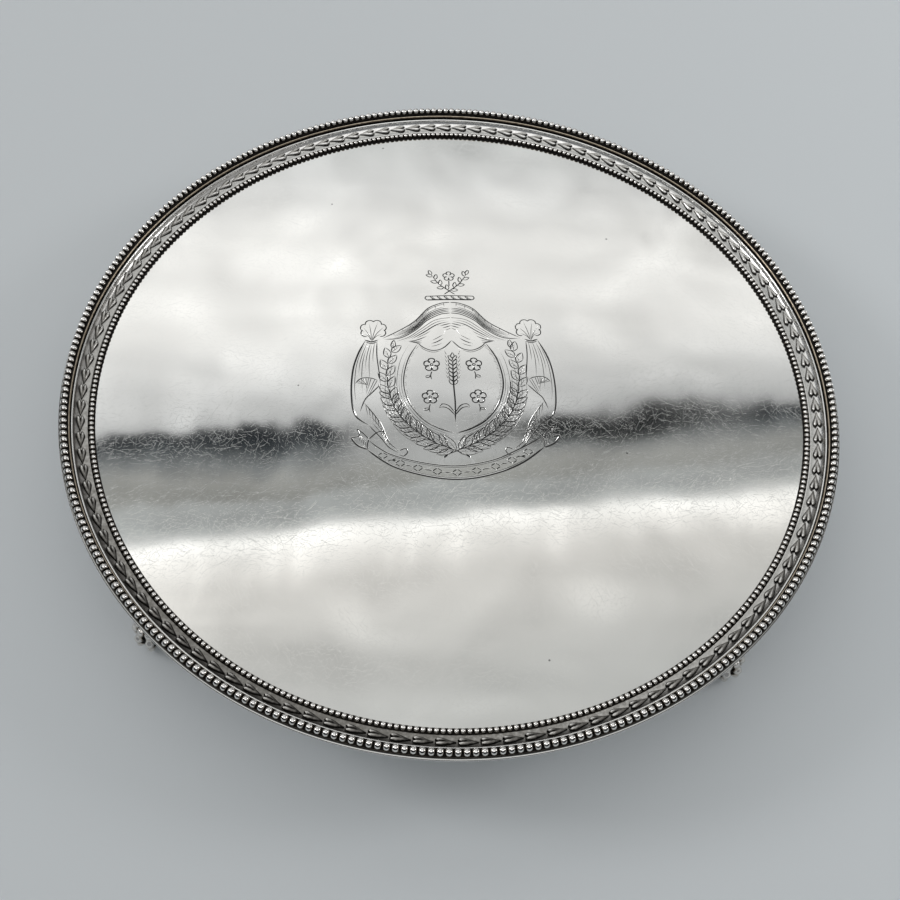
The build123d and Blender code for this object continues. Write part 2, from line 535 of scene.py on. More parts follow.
def scratch_group() -> bpy.types.NodeTree:
    """Fine random scratches: short, slightly bent hairlines that lie every way.

    Every cell of a cellular pattern holds one hairline, and seven patterns of growing
    fineness lie over each other.

    Returns:
        A group with a line mask from 0 to 1.
    """
    nodes, given, target = new_group(
        "hairline_scratches",
        {"Vector": ("Vector", None), "Width": ("Float", 8.0e-5), "Cover": ("Float", 0.5)},
        {"Lines": "Float"},
    )
    patch = nodes.noise(given["Vector"], 45.0, 2.0)
    threshold = (1.0 - given["Cover"]) + 0.3
    total: Value | None = None
    for number, cells in enumerate((84.0, 131.0, 187.0, 251.0, 337.0, 449.0, 613.0), 1):
        shift = (0.37 * number, 0.61 * number, 0.0)
        moved = nodes.value("ShaderNodeVectorMath", {0: given["Vector"], 1: shift}, operation="ADD")
        feeds = {"Scale": cells, "Vector": moved}
        cell = nodes.add("ShaderNodeTexVoronoi", feeds, voronoi_dimensions="2D", feature="F1")
        lean, luck, curve = nodes.split(cell.outputs["Color"], "Color")
        feeds = {0: moved, 1: cell.outputs["Position"]}
        away = nodes.value("ShaderNodeVectorMath", feeds, operation="SUBTRACT")
        feeds = {"Vector": away, "Angle": lean * (2 * math.pi)}
        x, y, _z = nodes.split(nodes.value("ShaderNodeVectorRotate", feeds, rotation_type="Z_AXIS"))
        bend = (curve - 0.5) * (cells * 0.7) * x**2.0
        line = (1.0 - abs(y + bend) / given["Width"]).clamped()
        ends = ((1.0 - abs(x) * (cells / 0.62)) * 3.0).clamped()
        kept = ((luck * 0.6 + patch - threshold) * 9.0).clamped()
        line = line * (ends * kept)
        total = line if total is None else nodes.math("MAXIMUM", total, line)
    nodes.feed(total, target.inputs["Lines"])
    return nodes.tree


def tarnish_and_shade_group() -> bpy.types.NodeTree:
    """Bright metal that turns dark and dull where its mask is high, with uneven edges: tarnish in its
    recesses, and painted shade where the mask carries it.

    Returns:
        A group with colour and roughness.
    """
    nodes, given, target = new_group(
        "recess_tarnish",
        {
            "Vector": ("Vector", None),
            "Tarnish": ("Float", 0.0),
            "Bright": ("Color", (0.9, 0.89, 0.87, 1.0)),
            "Warm": ("Color", (0.5, 0.42, 0.32, 1.0)),
            "Dark": ("Color", (0.02, 0.018, 0.016, 1.0)),
            "Bright roughness": ("Float", 0.1),
            "Dark roughness": ("Float", 0.6),
            "Unevenness": ("Float", 0.3),
            "Grain": ("Float", 900.0),
        },
        {"Colour": "Color", "Roughness": "Float"},
    )
    swing = (nodes.noise(given["Vector"], given["Grain"], 4.0) - 0.5) * given["Unevenness"]
    mask = (given["Tarnish"] + swing).clamped()
    first = nodes.mix_colour((mask * 2.0).clamped(), given["Bright"], given["Warm"])
    depth = ((mask - 0.35) * 2.2).clamped()
    nodes.feed(nodes.mix_colour(depth, first, given["Dark"]), target.inputs["Colour"])
    ends = {0: mask, 2: given["Bright roughness"], 3: given["Dark roughness"]}
    nodes.feed(nodes.value("ShaderNodeMix", ends, data_type="FLOAT"), target.inputs["Roughness"])
    return nodes.tree


def haze_group() -> bpy.types.NodeTree:
    """Cloudy handling haze and small specks, for roughness and colour.

    Returns:
        A group with a haze value and a speck mask.
    """
    nodes, given, target = new_group(
        "handling_haze",
        {"Vector": ("Vector", None), "Cloud": ("Float", 14.0), "Specks": ("Float", 260.0)},
        {"Haze": "Float", "Speck": "Float"},
    )
    cloud = nodes.noise(given["Vector"], given["Cloud"], 5.0, Distortion=0.8)
    nodes.feed(((cloud - 0.36) * 3.2).clamped(), target.inputs["Haze"])
    feeds = {"Vector": given["Vector"], "Scale": given["Specks"]}
    cells = nodes.add("ShaderNodeTexVoronoi", feeds, feature="F1")
    dot = nodes.math("LESS_THAN", cells.outputs["Distance"], 0.12)
    pick = nodes.math("GREATER_THAN", cells.outputs["Color"], 0.93)
    nodes.feed(dot * pick, target.inputs["Speck"])
    return nodes.tree


@dataclass(frozen=True)
class SilverFinish:
    """A silver surface: bright metal, tarnish in its recesses and painted shade where its mask carries it,
    scratches and ripples.

    Args:
        name: Name of the material.
        bright: Colour of the clean metal.
        warm: Colour of light tarnish, and of light painted shade.
        dark: Colour of the oxide in the deepest recesses, and of the deepest painted shade.
        roughness: Roughness of the clean metal.
        haze_roughness: Extra roughness where it is hazed by handling.
        dark_roughness: Roughness of the oxide.
        unevenness: How ragged the tarnish's edge is.
        scratch_depth: Height of the scratches, in metres.
        scratch_roughness: Extra roughness on the scratches.
        scratch_width: Half the width of a scratch, in metres.
        scratch_cover: Share of the surface that has scratches.
        ripple_height: Height of the hammered surface's slow ripples, in metres.
        ripple_scale: How many ripples to the metre.
        speck_dark: How dark the small specks are, from 0 to 1.
        grain_height: Height of the fine grain left by years of polishing, in metres.
        grain_scale: How many grains to the metre.
    """

    name: str
    bright: Colour = (0.90, 0.895, 0.875, 1.0)
    warm: Colour = (0.42, 0.36, 0.29, 1.0)
    dark: Colour = (0.012, 0.011, 0.010, 1.0)
    roughness: float = 0.12
    haze_roughness: float = 0.05
    dark_roughness: float = 0.55
    unevenness: float = 0.4
    scratch_depth: float = 2.0e-6
    scratch_roughness: float = 0.1
    scratch_width: float = 5.0e-5
    scratch_cover: float = 0.3
    ripple_height: float = 0.0
    ripple_scale: float = 30.0
    speck_dark: float = 0.0
    grain_height: float = 0.0
    grain_scale: float = 850.0

    def material(self, groups: dict[str, bpy.types.NodeTree]) -> bpy.types.Material:
        """Build the material.

        Args:
            groups: The shared shader groups by name.

        Returns:
            The finished material.
        """
        material, nodes = new_material(self.name)
        place = nodes.place()
        named = {"attribute_type": "GEOMETRY", "attribute_name": TARNISH_AND_SHADE}
        stored = nodes.value("ShaderNodeAttribute", None, "Fac", **named)
        feeds = {
            "Vector": place,
            "Tarnish": stored,
            "Bright": self.bright,
            "Warm": self.warm,
            "Dark": self.dark,
            "Bright roughness": self.roughness,
            "Dark roughness": self.dark_roughness,
            "Unevenness": self.unevenness,
        }
        tarnish = nodes.add("ShaderNodeGroup", feeds, node_tree=groups["tarnish"])
        haze = nodes.add("ShaderNodeGroup", {"Vector": place}, node_tree=groups["haze"])
        feeds = {"Vector": place, "Width": self.scratch_width, "Cover": self.scratch_cover}
        lines = nodes.value("ShaderNodeGroup", feeds, node_tree=groups["scratches"])
        speck = Value(nodes, haze.outputs["Speck"]) * self.speck_dark
        hazed = Value(nodes, haze.outputs["Haze"]) * self.haze_roughness
        worn = hazed + lines * self.scratch_roughness
        surface = nodes.bump(nodes.noise(place, self.ripple_scale, 1.5), self.ripple_height)
        surface = nodes.bump(nodes.noise(place, self.grain_scale, 2.0), self.grain_height, surface)
        feeds = {
            "Metallic": 1.0,
            "Base Color": nodes.mix_colour(speck, tarnish.outputs["Colour"], self.dark),
            "Roughness": nodes.math("MINIMUM", worn + tarnish.outputs["Roughness"], 1.0),
            "Normal": nodes.bump(lines, self.scratch_depth, surface, invert=True),
        }
        nodes.add("ShaderNodeOutputMaterial", {"Surface": nodes.value("ShaderNodeBsdfPrincipled", feeds)})
        return material


# --- Engraving -----------------------------------------------------------------------------


def through(points: Sequence[Point2], spacing: float = 0.55) -> list[Point2]:
    """Run a smooth line through given points.

    Args:
        points: The points it passes through, in millimetres.
        spacing: Distance between the line's samples, in millimetres.

    Returns:
        Evenly spaced samples, ends included.
    """
    padded = [points[0], *points, points[-1]]
    fine: list[Vector] = []
    for corners in zip(padded, padded[1:], padded[2:], padded[3:]):
        a, b, c, d = (Vector(point) for point in corners)
        for step in range(16):
            t = step / 16
            curve = 2 * b + (c - a) * t + (2 * a - 5 * b + 4 * c - d) * t * t
            curve += (3 * b - a - 3 * c + d) * t * t * t
            fine.append(curve / 2)
    fine.append(Vector(points[-1]))
    travelled = [0.0]
    for start, end in zip(fine, fine[1:]):
        travelled.append(travelled[-1] + (end - start).length)
    count = max(2, math.ceil(travelled[-1] / spacing) + 1)
    wanted = np.linspace(0.0, travelled[-1], count)
    xs = np.interp(wanted, travelled, [point.x for point in fine])
    ys = np.interp(wanted, travelled, [point.y for point in fine])
    return list(zip(xs.tolist(), ys.tolist()))


def part_way(first: Sequence[Point2], second: Sequence[Point2], share: float) -> list[Point2]:
    """Line lying between two lines, at a share of the way from the first to the second.

    Args:
        first: The line at 0.
        second: The line at 1.
        share: Share of the way.

    Returns:
        As many points as the longer line has.
    """
    count = max(len(first), len(second))
    rows = []
    for line in (first, second):
        steps = np.linspace(0, len(line) - 1, count)
        whole = np.arange(len(line))
        rows.append([np.interp(steps, whole, [point[axis] for point in line]) for axis in (0, 1)])
    xs = rows[0][0] * (1 - share) + rows[1][0] * share
    ys = rows[0][1] * (1 - share) + rows[1][1] * share
    return list(zip(xs.tolist(), ys.tolist()))


def piece_of(line: Sequence[Point2], start: float, end: float) -> list[Point2]:
    """Part of a line between two shares of its length.

    Args:
        line: The whole line.
        start: Where the part begins, from 0 to 1.
        end: Where it ends, from 0 to 1.

    Returns:
        The part, of two points at least.
    """
    last = len(line) - 1
    first = round(start * last)
    return list(line[first : max(first + 2, round(end * last) + 1)])


def point_on(line: Sequence[Point2], share: float) -> Point2:
    """Point at a share of a line's length."""
    return line[round(share * (len(line) - 1))]


def heading_at(line: Sequence[Point2], index: int) -> float:
    """Direction of a line at one of its samples, in degrees."""
    here, ahead = Vector(line[index]), Vector(line[index + 1])
    return math.degrees(math.atan2(ahead.y - here.y, ahead.x - here.x))


def flipped(points: Sequence[Point2], side: int) -> list[Point2]:
    """Points of the right side (1) or their mirror image (-1)."""
    return [(side * x, y) for x, y in points]


@dataclass(frozen=True)
class Cut:
    """One engraved cut.

    Args:
        line: Samples along its middle, in millimetres.
        width: Its full width where it is widest, in millimetres.
        lead_in: Share of its length over which it opens.
        lead_out: Share of its length over which it closes.
    """

    line: tuple[Point2, ...]
    width: float
    lead_in: float
    lead_out: float

    def half_width(self, share: float) -> float:
        """Half the cut's width at a share of its length.

        Args:
            share: Share of its length.

        Returns:
            The half width, in millimetres.
        """
        opening = min(1.0, share / self.lead_in) if self.lead_in else 1.0
        closing = min(1.0, (1.0 - share) / self.lead_out) if self.lead_out else 1.0
        return self.width / 2 * max(0.2, min(opening, closing) ** 0.7)


@dataclass
class Cartouche:
    """The engraved ornament: a draped mantle round a shield, with sprays and a ribbon.

    Everything is drawn in millimetres about the middle of the shield, upright.

    Args:
        centre: Where the shield's middle lies on the field, in millimetres.
        turn: How far the ornament is turned, in degrees.
        bold: Width of the outlines' heaviest cuts.
        plain: Width of ordinary cuts.
        fine: Width of shading cuts.
        cuts: The cuts drawn so far.
    """

    centre: Point2 = (0.3, -3.5)
    turn: float = 4.5
    bold: float = 0.8
    plain: float = 0.52
    fine: float = 0.3
    cuts: list[Cut] = field(default_factory=list)

    def draw(self) -> list[Cut]:
        """Draw the whole ornament.

        Returns:
            Every cut, placed and turned on the field.
        """
        self.cuts.clear()
        self._shield()
        self._mantle()
        self._drapes()
        self._sprays()
        self._ribbon()
        self._rosettes()
        self._wheat()
        self._crest()
        turn = Matrix.Rotation(math.radians(self.turn), 2)
        shift = Vector(self.centre)
        return [
            replace(cut, line=tuple(tuple(turn @ Vector(point) + shift) for point in cut.line))
            for cut in self.cuts
        ]

    def _cut(
        self,
        points: Sequence[Point2],
        width: float,
        lead_in: float = 0.12,
        lead_out: float = 0.25,
        smooth: bool = True,
    ) -> None:
        """Add one cut through some points.

        Args:
            points: Where it passes.
            width: Its full width.
            lead_in: Share of its length over which it opens.
            lead_out: Share of its length over which it closes.
            smooth: Whether to curve it through the points.
        """
        line = through(points) if smooth else list(points)
        self.cuts.append(Cut(tuple(line), width, lead_in, lead_out))

    def _pair(
        self,
        points: Sequence[Point2],
        width: float,
        lead_in: float = 0.12,
        lead_out: float = 0.25,
        smooth: bool = True,
    ) -> None:
        """Add a cut and its mirror image.

        Args:
            points: Where it passes.
            width: Its full width.
            lead_in: Share of its length over which it opens.
            lead_out: Share of its length over which it closes.
            smooth: Whether to curve it through the points.
        """
        for side in (1, -1):
            self._cut(flipped(points, side), width, lead_in, lead_out, smooth)

    def _between(
        self,
        first: Sequence[Point2],
        second: Sequence[Point2],
        rows: Sequence[tuple[float, float, float, float]],
        lead_in: float,
        lead_out: float,
    ) -> None:
        """Add mirrored cuts that lie between two lines.

        Args:
            first: The line at level 0.
            second: The line at level 1.
            rows: Level, start, end and width of each cut; start and end are shares of its length.
            lead_in: Share of each cut over which it opens.
            lead_out: Share of each cut over which it closes.
        """
        for level, start, end, width in rows:
            line = piece_of(part_way(first, second, level), start, end)
            self._pair(line, width, lead_in, lead_out, False)

    def _hatch(self, near: Sequence[Point2], far: Sequence[Point2], count: int, reach: float) -> None:
        """Short cuts from one line towards another, in mirrored pairs.

        Args:
            near: Points of the line they start on.
            far: Points of the line they point to.
            count: How many there are.
            reach: Share of the way that they go.
        """
        start_line, end_line = through(near), through(far)
        for step in range(count):
            share = (step + 0.5) / count
            start = point_on(start_line, share)
            end = point_on(end_line, share)
            self._pair([start, part_way([start], [end], reach)[0]], self.fine, 0.05, 0.6)

    def _leaf(self, root: Point2, heading: float, length: float, breadth: float, rib: bool = True) -> None:
        """An almond leaf: two curved edges and a rib.

        Args:
            root: Where it leaves its stem.
            heading: Direction it points, in degrees.
            length: Its length.
            breadth: Its greatest breadth.
            rib: Whether it has a rib.
        """
        along = Vector(polar(AXIS, 1.0, math.radians(heading)))
        across = Vector((-along.y, along.x))
        start = Vector(root)
        for side, width in ((1, self.plain), (-1, self.plain * 0.8)):
            edge = [
                tuple(start),
                tuple(start + along * length * 0.3 + across * side * breadth * 0.46),
                tuple(start + along * length * 0.62 + across * side * breadth * 0.42),
                tuple(start + along * length),
            ]
            self._cut(edge, width, 0.15, 0.15)
        if rib:
            self._cut([tuple(start), tuple(start + along * length * 0.8)], self.fine, 0.1, 0.6)
            for share in (0.35, 0.55):
                spot = start + along * length * share
                tip = spot + (along * 0.5 + across * 0.8) * breadth * 0.4
                self._cut([tuple(spot), tuple(tip)], self.fine, 0.1, 0.5)

    def _flower(self, heart: Point2, reach: float, petal_radius: float, width: float) -> None:
        """Five round petals about a heart.

        Args:
            heart: Middle of the flower.
            reach: From its middle to a petal's.
            petal_radius: Radius of a petal.
            width: Width of the cuts.
        """
        for petal in range(5):
            turn = math.radians(90 + petal * 72)
            middle = polar(heart, reach, turn)
            swings = [turn + math.radians(-150 + step * 50) for step in range(7)]
            self._cut([polar(middle, petal_radius, swing) for swing in swings], width, 0.1, 0.1)

    def _shield(self) -> None:
        """A shield with a scalloped top, heavier and shaded on its right."""
        plain, fine = self.plain, self.fine
        top = [(0.0, 22.7), (3.4, 19.0), (7.5, 17.6), (11.2, 18.8), (14.0, 21.2)]
        side = [(14.0, 21.2), (18.2, 13.0), (20.1, 2.0), (18.0, -8.0)]
        side += [(12.5, -16.2), (6.0, -20.5), (0.0, -22.7)]
        self._pair(top, plain, 0.1, 0.1)
        self._cut(side, self.bold, 0.1, 0.1)
        self._cut(flipped(side, -1), plain, 0.1, 0.1)
        for mirror, depth in ((1, 1.5), (-1, 0.9)):
            for x, y in through(side, 0.75)[2:-2]:
                inward = x - 0.45 - depth * (0.75 + 0.25 * math.sin(y * 1.7))
                self._cut(flipped([(x - 0.45, y), (inward, y - 0.15)], mirror), fine, 0.05, 0.5)
        self._pair([(x, y - 0.9) for x, y in top[1:]], fine, 0.3, 0.3)
        bound = [(27.0, 21.0), (30.0, 10.0), (30.4, -2.0), (28.6, -12.0)]
        bound += [(22.0, -23.5), (11.0, -30.5), (0.0, -32.5)]
        hair = fine * 0.8
        ground = (
            (0.09, 0.1, 1.0, hair),
            (0.18, 0.3, 1.0, hair),
            (0.27, 0.02, 0.97, hair),
            (0.36, 0.2, 1.0, hair),
            (0.45, 0.35, 1.0, hair),
            (0.54, 0.06, 0.96, hair),
            (0.63, 0.3, 1.0, hair),
            (0.72, 0.12, 1.0, hair),
            (0.81, 0.4, 1.0, hair),
            (0.9, 0.24, 0.98, hair),
        )
        self._between(through(side), through(bound), ground, 0.2, 0.1)

    def _mantle(self) -> None:
        """The mantle's rolled edge over the shield and the lining under it."""
        plain, fine = self.plain, self.fine
        outer = [(28.7, 23.8), (21.6, 28.0), (15.2, 32.7), (9.4, 39.6), (4.0, 42.4), (0.0, 42.9)]
        inner = [(28.0, 23.4), (21.0, 24.2), (14.5, 28.4), (9.9, 33.2), (4.5, 36.4), (0.0, 37.2)]
        lining = [(24.0, 22.0), (18.0, 24.3), (12.5, 28.7), (6.5, 33.4), (0.0, 34.7)]
        shield_top = [(15.5, 21.0), (14.0, 21.6), (11.2, 19.4), (7.5, 18.3), (3.4, 19.6), (0.0, 23.6)]
        self._pair(outer, plain, 0.1, 0.02)
        self._pair(inner, plain, 0.1, 0.02)
        self._pair(lining, fine, 0.2, 0.02)
        first, second = through(outer), through(inner)
        folds = (
            (0.14, 0.3, 0.95, fine),
            (0.28, 0.12, 0.7, fine),
            (0.42, 0.06, 0.94, fine),
            (0.56, 0.12, 1.0, plain),
            (0.7, 0.2, 1.0, plain),
            (0.84, 0.1, 1.0, plain),
        )
        self._between(first, second, folds, 0.3, 0.1)
        for step in range(8):
            start, end = (point_on(line, 0.16 + step * 0.11) for line in (first, second))
            self._pair([start, part_way([start], [end], 0.45)[0]], fine, 0.05, 0.7)
        folds = (
            (0.09, 0.1, 1.0, fine),
            (0.18, 0.22, 1.0, plain),
            (0.27, 0.3, 0.62, fine),
            (0.27, 0.8, 1.0, plain),
            (0.38, 0.12, 0.5, plain),
            (0.38, 0.84, 1.0, plain),
            (0.5, 0.05, 0.42, fine),
            (0.5, 0.88, 1.0, fine),
            (0.62, 0.08, 0.34, plain),
            (0.62, 0.55, 0.8, fine),
            (0.74, 0.03, 0.3, fine),
            (0.74, 0.5, 0.78, plain),
            (0.86, 0.05, 0.24, fine),
            (0.86, 0.46, 0.72, fine),
        )
        self._between(through(lining), through(shield_top), folds, 0.3, 0.3)

    def _drapes(self) -> None:
        """Gathered knots at the shoulders, hanging sides and the tails that meet below."""
        plain, fine = self.plain, self.fine
        for side in (1, -1):
            self._knot(side)
        outer = [(35.6, 22.8), (38.6, 15.6), (40.5, 7.5), (40.9, -3.7), (39.3, -13.6), (33.8, -18.6)]
        inner = [(30.8, 22.4), (30.8, 14.8), (29.6, 4.2), (29.6, 0.5)]
        self._pair(outer, self.bold, 0.1, 0.1)
        self._pair(inner, plain)
        folds = (
            (0.12, 0.05, 0.95, fine),
            (0.26, 0.0, 0.55, fine),
            (0.38, 0.1, 0.85, fine),
            (0.52, 0.0, 0.5, fine),
            (0.66, 0.05, 0.75, fine),
            (0.82, 0.0, 0.45, fine),
        )
        self._between(through(piece_of(outer, 0.0, 0.8)), through(inner), folds, 0.3, 0.4)
        fold = [(39.4, 1.4), (37.5, 3.6), (35.3, 4.2), (32.5, 3.8), (30.2, 2.6)]
        curl = [(29.6, 0.5), (33.0, -3.5), (35.5, -6.5), (37.4, -12.3)]
        self._pair(fold, plain)
        self._pair(curl, plain)
        self._hatch(fold, curl, 9, 0.7)
        tail_out = [(33.8, -18.6), (29.0, -24.5), (26.2, -28.5), (22.1, -31.5)]
        tail_in = [(35.8, -8.0), (29.8, -16.8), (26.2, -26.1), (22.1, -30.3)]
        self._pair(tail_out, plain)
        self._pair(tail_in, plain)
        self._hatch(tail_in, tail_out, 12, 0.6)
        folds = ((0.35, 0.1, 0.7, fine), (0.65, 0.1, 0.7, fine))
        self._between(through(tail_in), through(tail_out), folds, 0.3, 0.4)
        self._pair([(22.1, -30.3), (19.8, -29.2), (19.0, -31.0), (20.6, -32.6), (22.6, -31.6)], plain)

    def _knot(self, side: int) -> None:
        """A gathered bunch of cloth, tied below.

        Args:
            side: 1 for the right shoulder, -1 for the left.
        """
        middle, tie = (32.3, 28.4), (33.0, 22.4)
        lobes = 6
        for lobe in range(lobes):
            turn = math.radians(-28 + lobe * 236 / (lobes - 1))
            heart = (middle[0] + 3.6 * math.cos(turn), middle[1] + 3.3 * math.sin(turn))
            arc = [polar(heart, 1.95, turn + math.radians(-82 + step * 41)) for step in range(5)]
            self._cut(flipped(arc, side), self.plain, 0.1, 0.1)
            halfway = (heart[0] * 0.5 + tie[0] * 0.5, heart[1] * 0.5 + tie[1] * 0.5 + 0.4)
            self._cut(flipped([polar(heart, 1.0, turn), halfway, tie], side), self.fine, 0.4, 0.2)
        self._cut(flipped([(30.4, 23.2), (33.0, 22.2), (35.8, 23.2)], side), self.bold, 0.2, 0.2)
        self._cut(flipped([(30.6, 22.2), (33.0, 21.3), (35.6, 22.2)], side), self.plain, 0.2, 0.2)

    def _sprays(self) -> None:
        """Two leafy stems that rise each side of the shield and cross below it."""
        right = [(-3.5, -32.2), (2.0, -29.6), (10.0, -25.6), (19.0, -17.6), (24.4, -8.3)]
        right += [(26.6, 3.0), (26.2, 12.0), (24.4, 18.6)]
        for side in (1, -1):
            stem = flipped(right, side)
            self._cut(stem, self.plain, 0.05, 0.4)
            line = through(stem, 1.0)
            for number, index in enumerate(range(4, len(line) - 2, 3)):
                heading = heading_at(line, index)
                spread = 32 if number % 2 else -32
                length = 8.8 - 3.4 * index / len(line)
                self._leaf(line[index], heading + spread, length, 3.0)
                if index < len(line) * 0.62:
                    self._leaf(line[index + 1], heading - spread * 1.3, length * 0.85, 2.4)
            self._leaf(line[-1], 90 + side * 8, 4.6, 1.9)
            self._cut(flipped([(-3.5, -32.2), (-5.2, -33.6)], side), self.bold, 0.1, 0.1)

    def _ribbon(self) -> None:
        """A bare ribbon under the mantle, with a row of lozenges and forked ends."""
        upper = [(-34.0, -25.4), (-26.0, -31.5), (-12.9, -35.7), (0.0, -37.2)]
        upper += [(13.5, -34.9), (24.0, -30.2), (33.6, -24.6)]
        lower = [(-34.5, -29.6), (-24.4, -37.2), (-9.8, -42.0), (3.0, -43.0)]
        lower += [(15.6, -40.4), (25.4, -36.0), (34.0, -29.4)]
        self._cut(upper, self.plain, 0.04, 0.04)
        self._cut(lower, self.bold, 0.04, 0.04)
        top, low = through(upper), through(lower)
        for level in (0.12, 0.88):
            self._cut(piece_of(part_way(top, low, level), 0.05, 0.95), self.fine, 0.2, 0.2, False)
        middle = part_way(top, low, 0.5)
        count = 9
        corners = ((-2.0, 0.0), (0.0, 1.5), (2.0, 0.0), (0.0, -1.5), (-2.0, 0.0))
        for number in range(count):
            share = 0.1 + 0.8 * number / (count - 1)
            spot = Vector(point_on(middle, share))
            lozenge = [(spot.x + dx, spot.y + dy) for dx, dy in corners]
            for start, end in zip(lozenge, lozenge[1:]):
                self._cut([start, end], self.plain * 0.85, 0.05, 0.05)
            if number < count - 1:
                spot = Vector(point_on(middle, share + 0.05))
                self._cut([(spot.x - 0.35, spot.y), (spot.x + 0.35, spot.y)], self.plain, 0.0, 0.0)
        for side in (1, -1):
            for points, width, lead in (
                ([(33.8, -24.9), (34.4, -27.2), (34.2, -29.5)], self.plain, 0.1),
                ([(33.8, -24.9), (30.4, -21.6), (27.6, -21.4)], self.plain, 0.1),
                ([(34.2, -29.5), (38.2, -27.6), (40.8, -24.0)], self.bold, 0.1),
                ([(40.8, -24.0), (37.6, -23.2), (38.4, -20.0)], self.plain, 0.05),
                ([(38.4, -20.0), (35.6, -22.6), (33.8, -24.9)], self.plain, 0.05),
            ):
                self._cut(flipped(points, side), width, lead, lead)
            for step in range(4):
                start = (34.9 + step * 0.8, -28.4 + step * 0.9)
                end = (35.4 + step * 0.8, -24.4 + step * 0.6)
                self._cut(flipped([start, end], side), self.fine, 0.05, 0.5)

    def _rosettes(self) -> None:
        """Four flowers on short stems, two each side of the wheat."""
        for x, y in ((8.6, 10.4), (-8.6, 10.4), (9.6, -5.4), (-9.6, -5.4)):
            self._flower((x, y), 1.9, 1.35, self.bold * 0.85)
            ring = [polar((x, y), 0.55, math.radians(angle)) for angle in range(0, 361, 60)]
            self._cut(ring, self.plain, 0.0, 0.0)
            lean = 0.5 if x > 0 else -0.5
            self._cut([(x, y - 3.3), (x + lean, y - 5.2), (x + lean * 0.4, y - 7.4)], self.plain, 0.1, 0.2)
            self._leaf((x + lean, y - 5.4), -20 if x > 0 else 200, 2.4, 1.1, False)

    def _wheat(self) -> None:
        """An ear of wheat standing in the middle of the shield."""
        self._cut([(0.0, -17.3), (0.3, -8.0), (0.0, 1.0), (0.0, 13.0)], self.bold, 0.1, 0.3)
        for row in range(7):
            height = 0.4 + row * 2.0
            for side in (1, -1):
                self._leaf((0.0, height), 90 - side * 34, 3.3, 1.35, False)
                tip = (side * (2.0 + row * 0.06), height + 2.9)
                self._cut([tip, (tip[0] + side * 1.0, tip[1] + 2.3)], self.fine, 0.05, 0.6)
        self._leaf((0.0, 13.4), 90, 3.2, 1.4, False)
        for side in (1, -1):
            self._cut(flipped([(0.0, -13.0), (2.4, -9.6), (4.9, -8.8), (6.4, -10.8)], side), self.plain)
            self._cut(flipped([(0.0, -14.2), (2.6, -11.0), (4.8, -10.2), (6.4, -10.8)], side), self.plain)

    def _crest(self) -> None:
        """A twisted bar over the mantle with crossed sprigs and a flower above it."""
        plain, fine = self.plain, self.fine
        self._cut([(-9.8, 46.3), (0.0, 46.6), (9.8, 46.3)], plain, 0.03, 0.03)
        self._cut([(-9.8, 44.3), (0.0, 44.5), (9.8, 44.3)], self.bold, 0.03, 0.03)
        self._pair([(9.8, 46.3), (10.5, 45.3), (9.8, 44.3)], plain, 0.0, 0.0)
        for step in range(6):
            x = -8.2 + step * 2.95
            self._cut([(x, 46.3), (x + 0.5, 45.4), (x + 1.6, 44.5)], plain, 0.0, 0.0)
            self._cut([(x + 0.7, 46.3), (x + 1.2, 45.4), (x + 2.3, 44.5)], fine, 0.0, 0.0)
        for side in (1, -1):
            sprig = flipped([(-2.4, 47.2), (1.0, 50.0), (4.6, 53.4), (7.4, 58.2)], side)
            self._cut(sprig, plain, 0.05, 0.3)
            line = through(sprig, 1.0)
            for number, index in enumerate(range(4, len(line) - 1, 2)):
                heading = heading_at(line, index) + (42 if number % 2 else -42)
                self._leaf(line[index], heading, 3.2, 1.5, False)
            self._leaf(line[-1], 90 - side * 24, 3.0, 1.4, False)
        self._flower((0.0, 57.4), 1.5, 1.05, plain)
        self._cut([(0.0, 54.6), (0.0, 51.6)], plain, 0.0, 0.2)


# --- The salver's pieces ---------------------------------------------------------------------


